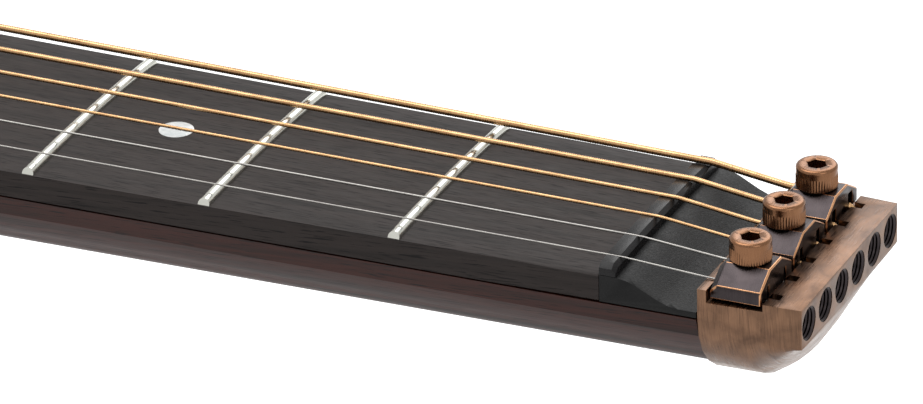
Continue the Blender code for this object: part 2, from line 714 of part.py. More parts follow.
def make_headpiece():
    """The headpiece: a cap on the neck's end, with its channel, string holes and screw holes."""
    front_half, end_half = HEADPIECE_FRONT_WIDTH / 2, HEADPIECE_END_WIDTH / 2
    length = HEADPIECE_END - HEADPIECE_FRONT
    side_gain = HEADPIECE_SIDE_DEPTH - HEADPIECE_FRONT_SIDE
    sections = []
    for x in (HEADPIECE_FRONT, HEADPIECE_NOSE):
        half = front_half + (end_half - front_half) * (x - HEADPIECE_FRONT) / length
        sections.append(headpiece_section(x, half, HEADPIECE_FRONT_SIDE, NECK_DEPTH, BELLY_POWER))
    nose_length = HEADPIECE_END - HEADPIECE_NOSE
    nose_drop = NECK_DEPTH - HEADPIECE_SIDE_DEPTH
    for place in (0.2, NOSE_SIDE_SHARE, 0.64, 0.84, 1.0):
        x = HEADPIECE_NOSE + nose_length * place
        half = front_half + (end_half - front_half) * (x - HEADPIECE_FRONT) / length
        fall = max(1 - place ** NOSE_CURVE_POWER, NOSE_END_SHARE)
        depth = HEADPIECE_SIDE_DEPTH + nose_drop * fall
        side_depth = HEADPIECE_FRONT_SIDE + side_gain * min(place / NOSE_SIDE_SHARE, 1.0)
        sections.append(headpiece_section(x, half, side_depth, depth, NOSE_BELLY_POWER))
    head = piece("headpiece", loft_mesh("headpiece", sections, smooth=True), "antique_copper")
    wide = HEADPIECE_FRONT_WIDTH
    channel_front = HEADPIECE_FRONT + LIP_LENGTH
    cut(head, box_mesh("clamp_channel", (channel_front, CHANNEL_REAR), (-wide, wide),
                       (CHANNEL_FLOOR, wide)))
    cut(head, box_mesh("rear_bar_step", (CHANNEL_REAR - GLUE_GAP, HEADPIECE_END + wide), (-wide, wide),
                       (REAR_BAR_TOP, wide)))
    mortise = HEADPIECE_FRONT + TONGUE_LENGTH
    half_tongue = TONGUE_WIDTH / 2 + GLUE_GAP
    cut(head, box_mesh("tongue_mortise", (HEADPIECE_FRONT - GLUE_GAP, mortise), (-half_tongue, half_tongue),
                       (TONGUE_TOP - TONGUE_THICKNESS - GLUE_GAP, TONGUE_TOP + GLUE_GAP)))
    hole_start = HEADPIECE_END - END_HOLE_DEPTH
    for index, gauge in enumerate(STRING_GAUGES):
        y = string_y(index, HEAD_PITCH)
        hole = rod_mesh(f"end_hole_{index + 1}", (hole_start, y, END_HOLE_HEIGHT),
                        (HEADPIECE_END + END_HOLE_DEPTH, y, END_HOLE_HEIGHT), END_HOLE_RADIUS, 20)
        cut(head, hole)
        half_notch = NOTCH_WIDTH / 2
        cut(head, box_mesh(f"end_notch_{index + 1}",
                           (CHANNEL_REAR - LIP_LENGTH, hole_start + GLUE_GAP),
                           (y - half_notch, y + half_notch),
                           (END_HOLE_HEIGHT - gauge / 2 - GLUE_GAP, LIP_TOP)))
        half_rest = gauge / 2 + FINE_GAP
        cut(head, box_mesh(f"lip_rest_{index + 1}",
                           (HEADPIECE_FRONT - LIP_LENGTH, channel_front + LIP_LENGTH),
                           (y - half_rest, y + half_rest),
                           (LIP_STRING_HEIGHT - half_rest, 2 * LIP_LENGTH)))
    for y in clamp_ys():
        cut(head, rod_mesh("tapped_hole", (CLAMP_CENTRE, y, SCREW_TIP - RUNNING_GAP),
                           (CLAMP_CENTRE, y, LIP_TOP), SCREW_RADIUS + RUNNING_GAP, 16))
    for side in (-1, 1):
        cut(head, fixing_hole(side, FIXING_RADIUS + FINE_GAP, "fixing_hole"))
        y = side * CLAMP_PITCH / 2
        low = CHANNEL_FLOOR - GLUE_GAP - FIXING_HEAD_HEIGHT - FINE_GAP
        cut(head, rod_mesh("fixing_seat", (CLAMP_CENTRE, y, low), (CLAMP_CENTRE, y, LIP_TOP),
                           FIXING_HEAD_RADIUS + FINE_GAP, 16))
        make_fixing_screw(side)


def make_fixing_screw(side):
    """A flat-headed screw through the headpiece into the neck's tongue."""
    label = "bass" if side > 0 else "treble"
    top = CHANNEL_FLOOR - GLUE_GAP
    profile = ((0, 0), (FIXING_HEAD_RADIUS, 0), (FIXING_HEAD_RADIUS, -FIXING_HEAD_HEIGHT),
               (FIXING_RADIUS, -FIXING_HEAD_HEIGHT), (FIXING_RADIUS, -FIXING_LENGTH), (0, -FIXING_LENGTH))
    turned(f"headpiece_screw_{label}", profile, "tool_steel",
           (CLAMP_CENTRE, side * CLAMP_PITCH / 2, top), steps=12)


def clamp_ys():
    """Places of the clamps across the headpiece."""
    return [(index - (CLAMP_COUNT - 1) / 2) * CLAMP_PITCH for index in range(CLAMP_COUNT)]


def make_clamps():
    """Three clamp blocks, each on its own socket-head screw."""
    names = ("treble", "middle", "bass")
    for number, (label, centre) in enumerate(zip(names, clamp_ys())):
        at = Vector((CLAMP_CENTRE, centre, 0))
        half, half_top, half_length = CLAMP_WIDTH / 2, CLAMP_TOP_WIDTH / 2, CLAMP_LENGTH / 2
        sections = []
        chamfer_end = CLAMP_CHAMFER - half_length
        for x, lower in ((-half_length, CLAMP_CHAMFER), (chamfer_end, 0.0), (half_length, 0.0)):
            shoulder, top = CLAMP_SHOULDER - lower, CLAMP_TOP - lower
            sections.append([(x, -half, CLAMP_BOTTOM), (x, half, CLAMP_BOTTOM), (x, half, shoulder),
                             (x, half_top, top), (x, -half_top, top), (x, -half, shoulder)])
        block = piece(f"clamp_block_{label}", loft_mesh("clamp_block", sections), "gunmetal", at)
        soften(block, 0.0002)
        for index in (2 * number, 2 * number + 1):
            gauge = STRING_GAUGES[index]
            y = string_y(index, HEAD_PITCH)
            half_groove = gauge / 2 + GLUE_GAP
            groove = box_mesh(f"clamp_groove_{index + 1}",
                              (CLAMP_CENTRE - CLAMP_LENGTH, CLAMP_CENTRE + CLAMP_LENGTH),
                              (y - half_groove, y + half_groove),
                              (CLAMP_BOTTOM - CLAMP_LENGTH, LIP_STRING_HEIGHT + gauge / 2 + GLUE_GAP))
            cut(block, groove)
        hole = rod_mesh(f"clamp_hole_{label}", (CLAMP_CENTRE, centre, CLAMP_BOTTOM - CLAMP_LENGTH),
                        (CLAMP_CENTRE, centre, CLAMP_TOP + CLAMP_LENGTH), SCREW_RADIUS + RUNNING_GAP, 16)
        cut(block, hole)
        make_clamp_screw(label, block)


def make_clamp_screw(label, block):
    """A socket-head cap screw standing in its block; local z = 0 is the head's underside."""
    tip = SCREW_TIP - CLAMP_TOP - FINE_GAP
    edge = SCREW_HEAD_RADIUS - SCREW_HEAD_ROUNDING
    profile = ((0, SCREW_HEAD_HEIGHT), (edge, SCREW_HEAD_HEIGHT),
               (SCREW_HEAD_RADIUS - SCREW_HEAD_ROUNDING * 0.3, SCREW_HEAD_HEIGHT - SCREW_HEAD_ROUNDING * 0.3),
               (SCREW_HEAD_RADIUS, SCREW_HEAD_HEIGHT - SCREW_HEAD_ROUNDING), (SCREW_HEAD_RADIUS, 0),
               (SCREW_RADIUS, 0), (SCREW_RADIUS, tip), (0, tip))
    at = (0, 0, CLAMP_TOP + FINE_GAP)
    screw = turned(f"clamp_screw_{label}", profile, "polished_copper", at, parent=block, steps=24)
    key = rod_mesh(f"screw_key_{label}", (0, 0, SCREW_HEAD_HEIGHT - SCREW_KEY_DEPTH),
                   (0, 0, SCREW_HEAD_HEIGHT + SCREW_KEY_DEPTH), SCREW_KEY / math.sqrt(3), 6)
    cut(screw, key, parent=block, at=at)


def string_floor(index):
    """Height of the underside of a string at the twelfth fret and at the saddle."""
    share = index / (len(STRING_GAUGES) - 1)
    action = ACTION_TREBLE + (ACTION_BASS - ACTION_TREBLE) * share
    at_twelfth = string_y(index, (NUT_PITCH + BRIDGE_PITCH) / 2)
    twelfth = FRET_HEIGHT - drop(at_twelfth) + action
    nut = slot_floor(index)
    return nut + (twelfth - nut) * SADDLE_X / fret_x(12)


def string_route(index):
    """Points and radii of one string from its ball in the headpiece to its ball at the tail."""
    gauge = STRING_GAUGES[index]
    radius = gauge / 2
    head_y = string_y(index, HEAD_PITCH)
    nut_y = string_y(index, NUT_PITCH)
    tail_y = string_y(index, BRIDGE_PITCH)
    over_lip = LIP_STRING_HEIGHT
    on_floor = CHANNEL_FLOOR + FINE_GAP + radius
    nut_z = slot_floor(index) + radius
    saddle_z = string_floor(index) + radius
    half_ball = BALL_LENGTH / 2
    neck = radius / BALL_RADIUS
    exit_x, exit_z = BRIDGE_REAR, ON_SOUNDBOARD + GUIDE_EXIT_HEIGHT
    entry_z = BRIDGE_TOP + FINE_GAP
    step = FINE_GAP / 2
    return [
        ((BALL_X + half_ball, head_y, END_HOLE_HEIGHT), 1.0),
        ((BALL_X - half_ball, head_y, END_HOLE_HEIGHT), 1.0),
        ((BALL_X - half_ball - step, head_y, END_HOLE_HEIGHT), neck),
        ((CHANNEL_REAR + LIP_LENGTH / 2, head_y, (END_HOLE_HEIGHT + on_floor) / 2), neck),
        ((CHANNEL_REAR - GLUE_GAP, head_y, on_floor), neck),
        ((HEADPIECE_FRONT + LIP_LENGTH, head_y, over_lip), neck),
        ((HEADPIECE_FRONT, head_y, over_lip), neck),
        ((NUT_LENGTH + FINE_GAP, nut_y, nut_z), neck),
        ((FINE_GAP, nut_y, nut_z), neck),
        ((SADDLE_X + SADDLE_WIDTH / 2, tail_y, saddle_z), neck),
        ((SADDLE_X - SADDLE_WIDTH / 2, tail_y, saddle_z), neck),
        ((GUIDE_ENTRY_X, tail_y, entry_z), neck),
        ((exit_x, tail_y, exit_z), neck),
        ((CARRIAGE_FRONT + CARRIAGE_LIP, tail_y, TUNER_HEIGHT), neck),
        ((TAIL_BALL_X + half_ball + step, tail_y, TUNER_HEIGHT), neck),
        ((TAIL_BALL_X + half_ball, tail_y, TUNER_HEIGHT), 1.0),
        ((TAIL_BALL_X - half_ball, tail_y, TUNER_HEIGHT), 1.0),
    ]


def make_strings():
    """Six strings with a ball at each end: two plain, four wound."""
    for index in range(len(STRING_GAUGES)):
        route = string_route(index)
        curve = bpy.data.curves.new(f"string_{index + 1}", "CURVE")
        curve.dimensions = "3D"
        curve.bevel_depth = BALL_RADIUS
        curve.bevel_resolution = 2
        curve.use_fill_caps = True
        spline = curve.splines.new("POLY")
        spline.points.add(len(route) - 1)
        for point, (place, share) in zip(spline.points, route):
            point.co = (*place, 1.0)
            point.radius = share
        piece(f"string_{index + 1}", curve, "plain_steel" if index < 2 else "bronze_wound")


def make_bridge():
    """The bridge: a thick middle, thin wings, a saddle slot and six guide holes."""
    half = BRIDGE_SPAN / 2
    wing_root = half - BRIDGE_WING_SPAN
    tip_width, tip_length = 0.2, BRIDGE_WING_SPAN * 0.15
    stations = ((half, BRIDGE_WING_THICKNESS * 0.8, tip_width),
                (half - tip_length, BRIDGE_WING_THICKNESS, tip_width / 4),
                (wing_root, BRIDGE_WING_THICKNESS * 1.1, 0.0),
                (wing_root - BRIDGE_THICKNESS, BRIDGE_THICKNESS, 0.0))
    rows = [(-y, high, draw) for y, high, draw in stations]
    rows += [(y, high, draw) for y, high, draw in stations[::-1]]
    sections = []
    for y, high, draw in rows:
        pull = draw * BRIDGE_WIDTH
        front, rear = BRIDGE_FRONT - pull, BRIDGE_REAR + pull
        top = ON_SOUNDBOARD + high
        ease = BRIDGE_WING_THICKNESS * 0.4
        sections.append([(front, y, ON_SOUNDBOARD), (front, y, top - ease), (front - ease, y, top),
                         (rear + ease, y, top), (rear, y, top - ease), (rear, y, ON_SOUNDBOARD)])
    bridge = piece("bridge", loft_mesh("bridge", sections), "ebony")
    slot_half = SADDLE_WIDTH / 2 + FINE_GAP
    span = SADDLE_SPAN / 2 + FINE_GAP
    cut(bridge, box_mesh("saddle_slot", (SADDLE_X - slot_half, SADDLE_X + slot_half), (-span, span),
                         (BRIDGE_TOP - SADDLE_DEPTH - FINE_GAP, BRIDGE_TOP + SADDLE_DEPTH)))
    slope = (BRIDGE_TOP + FINE_GAP - ON_SOUNDBOARD - GUIDE_EXIT_HEIGHT) / (GUIDE_ENTRY_X - BRIDGE_REAR)
    lead = GUIDE_ENTRY / 2
    for index in range(len(STRING_GAUGES)):
        y = string_y(index, BRIDGE_PITCH)
        start = (GUIDE_ENTRY_X + lead * 0.4, y, BRIDGE_TOP + FINE_GAP + slope * lead * 0.4)
        end = (BRIDGE_REAR - lead, y, ON_SOUNDBOARD + GUIDE_EXIT_HEIGHT - slope * lead)
        cut(bridge, rod_mesh(f"guide_hole_{index + 1}", start, end, GUIDE_HOLE_RADIUS, 10))


def make_saddle():
    """The saddle, its top curved to carry the strings."""
    bottom = BRIDGE_TOP - SADDLE_DEPTH
    front, rear = SADDLE_X + SADDLE_WIDTH / 2, SADDLE_X - SADDLE_WIDTH / 2
    ease = SADDLE_WIDTH * 0.2
    crests = [(string_y(index, BRIDGE_PITCH), string_floor(index) - FINE_GAP)
              for index in range(len(STRING_GAUGES))]
    slope = (crests[1][1] - crests[0][1]) / BRIDGE_PITCH
    margin = SADDLE_SPAN / 2 + crests[0][0]
    first = (-SADDLE_SPAN / 2, crests[0][1] - max(slope, 0.0) * margin)
    last = (SADDLE_SPAN / 2, crests[-1][1] - max(slope, 0.0) * margin)
    sections = []
    for y, crest in [first, *crests, last]:
        sections.append([(front, y, bottom), (front, y, crest - ease), (front - ease, y, crest),
                         (rear + ease, y, crest), (rear, y, crest - ease), (rear, y, bottom)])
    piece("saddle", loft_mesh("saddle", sections), "bone")


def make_pickguard():
    """The pickguard, wrapped round the treble side of the sound hole."""
    low, high = ON_SOUNDBOARD, ON_SOUNDBOARD + PICKGUARD_THICKNESS
    inner = SOUND_HOLE_RADIUS + PICKGUARD_CLEARANCE
    centre = Vector((SOUND_HOLE_X, 0))
    start, end = math.radians(-48), math.radians(-168)
    arc = []
    for step in range(13):
        angle = start + (end - start) * step / 12
        arc.append(centre + inner * Vector((math.cos(angle), math.sin(angle))))
    far = centre + Vector((-PICKGUARD_TAIL - inner * 0.55, -PICKGUARD_REACH))
    first, last = arc[-1], arc[0]
    back_curve = (first, first + Vector((-PICKGUARD_TAIL * 0.5, -PICKGUARD_TAIL * 0.2)),
                  far + Vector((-PICKGUARD_TAIL * 0.45, PICKGUARD_TAIL * 0.5)), far)
    side_curve = (far, far + Vector((PICKGUARD_TAIL * 0.45, -PICKGUARD_TAIL * 0.5)),
                  last + Vector((-PICKGUARD_TAIL * 0.1, -PICKGUARD_TAIL * 0.75)), last)
    outline = [tuple(point) for point in arc]
    for ends in (back_curve, side_curve):
        for step in range(1, OUTLINE_STEPS + (ends is back_curve)):
            point, _ = bezier(ends, step / OUTLINE_STEPS)
            outline.append(tuple(point))
    piece("pickguard", prism_mesh("pickguard", outline, low, high), "black_plastic")


def make_shell():
    """Soundboard, back, sides and bindings."""
    board = piece("soundboard", prism_mesh("soundboard", closed_outline(WALL_INSET), SOUNDBOARD_BOTTOM,
                                           SOUNDBOARD_TOP), "spruce")
    hole = rod_mesh("sound_hole", (SOUND_HOLE_X, 0, 2 * SOUNDBOARD_BOTTOM), (SOUND_HOLE_X, 0, 0),
                    SOUND_HOLE_RADIUS, 48)
    cut(board, hole)
    piece("back_plate", prism_mesh("back_plate", closed_outline(WALL_INSET), back_plane(),
                                   back_plane(BACK_THICKNESS)), "rosewood")
    tenon_gap = TENON_WIDTH / 2 + GLUE_GAP
    seam = GLUE_GAP / 2
    side_top = SOUNDBOARD_TOP - BINDING_HEIGHT - GLUE_GAP
    side_bottom = back_plane(BINDING_HEIGHT + GLUE_GAP)
    for label, side in (("treble", -1), ("bass", 1)):
        outer = half_outline(0.0, tenon_gap, seam, side)
        inner = half_outline(SIDE_THICKNESS, tenon_gap, seam, side)
        wall = piece(f"side_{label}", prism_mesh("side", outer + inner[::-1], side_bottom, side_top),
                     "rosewood")
        cut(wall, pin_hole(f"pin_hole_{label}"))
        cut(wall, tail_screw_hole(side, "side"))
    outer = half_outline(0.0, tenon_gap) + half_outline(0.0, tenon_gap, side=-1)[::-1]
    inner = half_outline(SIDE_THICKNESS, tenon_gap) + half_outline(SIDE_THICKNESS, tenon_gap, side=-1)[::-1]
    piece("top_binding", prism_mesh("top_binding", outer + inner[::-1], SOUNDBOARD_TOP - BINDING_HEIGHT,
                                    SOUNDBOARD_TOP), "black_plastic")
    piece("back_binding", ring_mesh("back_binding", closed_outline(), closed_outline(SIDE_THICKNESS),
                                    back_plane(), back_plane(BINDING_HEIGHT)), "black_plastic")


def make_frame_wood():
    """Blocks and linings inside the body."""
    above_back = back_plane(BACK_THICKNESS + GLUE_GAP)
    front = JOINT_X - WALL_INSET
    neck_outline = ((front, -BLOCK_HALF_NECK), (front, BLOCK_HALF_NECK),
                    (NECK_BLOCK_END, BLOCK_HALF_NECK), (NECK_BLOCK_END, -BLOCK_HALF_NECK))
    block = piece("neck_block", prism_mesh("neck_block", neck_outline, above_back, UNDER_SOUNDBOARD),
                  "bare_wood")
    half = TENON_WIDTH / 2 + GLUE_GAP
    sole = back_plane(HEEL_CLEARANCE)(JOINT_X)
    cut(block, box_mesh("tenon_mortise", (JOINT_X - TENON_LENGTH, JOINT_X + half), (-half, half),
                        (sole + TENON_FOOT - GLUE_GAP, 0.0)))
    cut(block, rod_channel("block_channel", NECK_BLOCK_END - half, JOINT_X))
    rear = TAIL_X + WALL_INSET
    tail_outline = ((TAIL_BLOCK_FRONT, -BLOCK_HALF_TAIL), (TAIL_BLOCK_FRONT, BLOCK_HALF_TAIL),
                    (rear, BLOCK_HALF_TAIL), (rear, -BLOCK_HALF_TAIL))
    tail = piece("tail_block", prism_mesh("tail_block", tail_outline, above_back, UNDER_SOUNDBOARD),
                 "bare_wood")
    cut(tail, pin_hole("pin_hole_block"))
    for side in (-1, 1):
        cut(tail, tail_screw_hole(side, "block"))
    for label, side in (("treble", -1), ("bass", 1)):
        neck_y, tail_y = BLOCK_HALF_NECK + GLUE_GAP, BLOCK_HALF_TAIL + GLUE_GAP
        outer = half_outline(WALL_INSET, neck_y, tail_y, side)
        inner = half_outline(LINING_INNER, neck_y, tail_y, side)
        band = outer + inner[::-1]
        piece(f"top_lining_{label}", prism_mesh("top_lining", band, UNDER_SOUNDBOARD - LINING_HEIGHT,
                                                UNDER_SOUNDBOARD), "bare_wood")
        piece(f"back_lining_{label}", prism_mesh("back_lining", band, above_back,
                                                 back_plane(BACK_THICKNESS + GLUE_GAP + LINING_HEIGHT)),
              "bare_wood")


def make_braces():
    """Braces under the soundboard and on the back, and the bridge plate."""
    crossing = SOUND_HOLE_X - SOUND_HOLE_RADIUS - X_BRACE_OFFSET
    low, high = UNDER_SOUNDBOARD - BRACE_HEIGHT, UNDER_SOUNDBOARD
    half = BRACE_WIDTH / 2
    bars = []
    for turn in (X_BRACE_ANGLE, -X_BRACE_ANGLE):
        along = Vector((math.cos(turn), math.sin(turn)))
        across = Vector((-math.sin(turn), math.cos(turn)))
        centre = Vector((crossing, 0))
        corners = [centre + along * reach + across * shift
                   for reach, shift in ((X_BRACE_FRONT, -half), (X_BRACE_FRONT, half),
                                        (-X_BRACE_REAR, half), (-X_BRACE_REAR, -half))]
        bars.append(prism_mesh("x_bar", [tuple(corner) for corner in corners], low, high))
    brace = piece("x_brace", bars[0], "bare_wood")
    cut(brace, bars[1], "UNION")

    cross_x = SOUND_HOLE_X + SOUND_HOLE_RADIUS + CROSS_BRACE_OFFSET
    reach = width_inside(JOINT_X - cross_x, LINING_INNER) - CROSS_BRACE_MARGIN
    cross = piece("cross_brace", box_mesh("cross_brace", (cross_x - half, cross_x + half), (-reach, reach),
                                          (low, high)), "bare_wood")
    notch = KEY_NOTCH_WIDTH / 2
    cut(cross, box_mesh("key_notch", (cross_x - 2 * half, cross_x + 2 * half), (-notch, notch),
                        (-KEY_NOTCH_DEPTH, 0.0)))

    plate_middle = (BRIDGE_FRONT + BRIDGE_REAR) / 2
    half_plate, half_span = BRIDGE_PLATE_WIDTH / 2, BRIDGE_PLATE_SPAN / 2
    piece("bridge_plate", box_mesh("bridge_plate", (plate_middle - half_plate, plate_middle + half_plate),
                                   (-half_span, half_span),
                                   (UNDER_SOUNDBOARD - BRIDGE_PLATE_THICKNESS, UNDER_SOUNDBOARD)),
          "bare_wood")
    for number, distance in enumerate(BACK_BRACE_PLACES):
        x = JOINT_X - distance
        half_back = BACK_BRACE_WIDTH / 2
        reach = min(width_inside(distance - half_back, LINING_INNER),
                    width_inside(distance + half_back, LINING_INNER)) - CROSS_BRACE_MARGIN
        outline = ((x - half_back, -reach), (x + half_back, -reach), (x + half_back, reach),
                   (x - half_back, reach))
        piece(f"back_brace_{number + 1}", prism_mesh("back_brace", outline,
                                                     back_plane(BACK_THICKNESS + GLUE_GAP),
                                                     back_plane(BACK_THICKNESS + GLUE_GAP + BRACE_HEIGHT)),
              "bare_wood")


def tail_screw_hole(side, name):
    """The hole of a screw that holds the tuner frame to the tail block."""
    y, z = side * TAIL_SCREW_SPREAD / 2, SOUNDBOARD_TOP - TAIL_SCREW_DROP
    label = "bass" if side > 0 else "treble"
    return rod_mesh(f"tail_screw_hole_{name}_{label}", (FLANGE_REAR - GLUE_GAP, y, z),
                    (FLANGE_REAR + TAIL_SCREW_LENGTH + GLUE_GAP, y, z), TAIL_SCREW_RADIUS + GLUE_GAP, 12)


def make_tuner_frame():
    """The frame on the tail that holds the six tuners, with its two screws."""
    half = len(STRING_GAUGES) / 2 * BRIDGE_PITCH + RUNNING_GAP
    outer = half + TUNER_WALL
    front = TUNER_FRONT_WALL + TUNER_WALL
    frame = piece("tuner_frame", box_mesh("tuner_frame", (FLANGE_REAR, front), (-outer, outer),
                                          (ON_SOUNDBOARD, TUNER_TOP)), "antique_copper")
    cut(frame, box_mesh("flange", (FLANGE_REAR, FLANGE_FRONT), (-outer, outer),
                        (SOUNDBOARD_TOP - TUNER_FLANGE_DROP, TUNER_TOP - TUNER_PLATE)), "UNION")
    cut(frame, box_mesh("tuner_room", (FLANGE_FRONT, TUNER_FRONT_WALL), (-half, half),
                        (TUNER_FLOOR, 2 * TUNER_TOP)))
    for index, gauge in enumerate(STRING_GAUGES):
        y = string_y(index, BRIDGE_PITCH)
        half_slot = gauge / 2 + GLUE_GAP
        cut(frame, box_mesh(f"string_slot_{index + 1}", (TUNER_FRONT_WALL - TUNER_WALL, front + TUNER_WALL),
                            (y - half_slot, y + half_slot),
                            (TUNER_HEIGHT - gauge / 2 - 2 * GLUE_GAP, 2 * TUNER_TOP)))
        cut(frame, rod_mesh(f"stud_hole_{index + 1}", (FLANGE_REAR - TUNER_WALL, y, TUNER_HEIGHT),
                            (FLANGE_FRONT + TUNER_WALL, y, TUNER_HEIGHT), STUD_RADIUS + RUNNING_GAP, 16))
    for side in (-1, 1):
        cut(frame, tail_screw_hole(side, "flange"))
        label = "bass" if side > 0 else "treble"
        profile = ((0, TAIL_SCREW_LENGTH), (TAIL_SCREW_RADIUS, TAIL_SCREW_LENGTH), (TAIL_SCREW_RADIUS, 0),
                   (TAIL_SCREW_HEAD, 0), (TAIL_SCREW_HEAD, -TAIL_SCREW_HEAD_HEIGHT * 0.4),
                   (TAIL_SCREW_HEAD * 0.6, -TAIL_SCREW_HEAD_HEIGHT), (0, -TAIL_SCREW_HEAD_HEIGHT))
        at = (FLANGE_REAR - FINE_GAP, side * TAIL_SCREW_SPREAD / 2, SOUNDBOARD_TOP - TAIL_SCREW_DROP)
        turned(f"tuner_frame_screw_{label}", profile, "polished_copper", at, axis=(1, 0, 0), steps=16)


def make_tuners():
    """Six carriages that slide in the frame, each drawn by a knurled knob on its stud."""
    bottom = TUNER_FLOOR + GLUE_GAP
    for index, gauge in enumerate(STRING_GAUGES):
        y = string_y(index, BRIDGE_PITCH)
        at = (CARRIAGE_X, y, TUNER_HEIGHT)
        half = CARRIAGE_WIDTH / 2
        low, high = bottom - TUNER_HEIGHT, bottom + CARRIAGE_HEIGHT - TUNER_HEIGHT
        carriage = piece(f"tuner_carriage_{index + 1}",
                         box_mesh("tuner_carriage", (0, CARRIAGE_LENGTH), (-half, half), (low, high)),
                         "gunmetal", at)
        cut(carriage, rod_mesh(f"stud_{index + 1}", (STUD_END - CARRIAGE_X, 0, 0),
                               (CARRIAGE_LENGTH / 4, 0, 0), STUD_RADIUS, 16), "UNION", at=at)
        pocket_front = CARRIAGE_LENGTH - CARRIAGE_LIP
        pocket_half = BALL_RADIUS + GLUE_GAP
        cut(carriage, box_mesh(f"ball_pocket_{index + 1}", (pocket_front - POCKET_LENGTH, pocket_front),
                               (-pocket_half, pocket_half), (-pocket_half, CARRIAGE_HEIGHT)), at=at)
        half_slot = gauge / 2 + GLUE_GAP
        cut(carriage, box_mesh(f"lip_slot_{index + 1}",
                               (pocket_front - GLUE_GAP, CARRIAGE_LENGTH + CARRIAGE_LIP),
                               (-half_slot, half_slot), (-half_slot, CARRIAGE_HEIGHT)), at=at)
        make_knob(index, y)


def make_knob(index, y):
    """A thumb knob on a stud, turning against the tail flange."""
    bore = STUD_RADIUS + RUNNING_GAP
    ease = KNOB_RADIUS - KNOB_ROUNDING
    inside = -KNOB_LENGTH + KNOB_FLOOR
    profile = ((0, inside), (bore, inside), (bore, 0), (ease, 0), (KNOB_RADIUS, -KNOB_ROUNDING),
               (KNOB_RADIUS, -KNOB_LENGTH + KNOB_ROUNDING), (ease, -KNOB_LENGTH), (0, -KNOB_LENGTH))
    at = (FLANGE_REAR - RUNNING_GAP, y, TUNER_HEIGHT)
    turned(f"tuner_knob_{index + 1}", profile, "polished_copper", at, axis=(1, 0, 0), steps=20)


def pin_hole(name):
    """The hole for the end pin, through the sides' seam into the tail block."""
    z = SOUNDBOARD_TOP - PIN_DROP
    return rod_mesh(name, (TAIL_X - PIN_LENGTH, 0, z), (TAIL_X + PIN_SHANK_LENGTH + GLUE_GAP, 0, z),
                    PIN_SHANK_RADIUS + GLUE_GAP, 16)


def make_end_pin():
    """The end pin that a strap hangs on."""
    collar = PIN_LENGTH * 0.3
    profile = ((0, PIN_SHANK_LENGTH), (PIN_SHANK_RADIUS, PIN_SHANK_LENGTH), (PIN_SHANK_RADIUS, 0),
               (PIN_COLLAR_RADIUS, 0), (PIN_COLLAR_RADIUS, -collar), (PIN_WAIST_RADIUS, -PIN_LENGTH * 0.5),
               (PIN_HEAD_RADIUS * 0.9, -PIN_LENGTH * 0.7), (PIN_HEAD_RADIUS, -PIN_LENGTH * 0.86),
               (PIN_HEAD_RADIUS * 0.8, -PIN_LENGTH), (0, -PIN_LENGTH))
    turned("end_pin", profile, "black_plastic", (TAIL_X - GLUE_GAP, 0, SOUNDBOARD_TOP - PIN_DROP),
           axis=(1, 0, 0), steps=16)


def lay_on_back():
    """Tilt the frame so that the back lies on z = 0, and centre the guitar over the origin."""
    FRAME.rotation_euler = (0, TAPER, 0)
    back_height = back_plane()(0.0)
    FRAME.location = (0, 0, -back_height * math.cos(TAPER))
    bpy.context.view_layer.update()
    graph = bpy.context.evaluated_depsgraph_get()
    xs = []
    for item in PARTS.objects:
        if item.type != "EMPTY":
            shape = item.evaluated_get(graph).to_mesh()
            xs += [(item.matrix_world @ vert.co).x for vert in shape.vertices]
    FRAME.location.x = -(min(xs) + max(xs)) / 2
    bpy.context.view_layer.update()


def main():
    make_fingerboard()
    make_frets()
    make_ramp()
    make_nut()
    make_neck()
    make_truss_rod()
    make_headpiece()
    make_clamps()
    make_strings()
    make_shell()
    make_frame_wood()
    make_braces()
    make_bridge()
    make_saddle()
    make_pickguard()
    make_tuner_frame()
    make_tuners()
    make_end_pin()
    lay_on_back()


main()
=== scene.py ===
"""Looks of a headless steel-string dreadnought guitar, dressed around its fixed frame.

The head end is built in neck coordinates, in metres: the origin is the middle of the nut's front
face on the crown of the fingerboard, +X runs along the strings to the head, +Y to the bass side and
+Z out of the soundboard. NeckFrame carries those coordinates into the world.
"""
import json
import logging
import math
from collections.abc import Iterable
from dataclasses import dataclass, field
from enum import Enum

import bmesh
import bpy
import numpy as np
from mathutils import Matrix, Vector

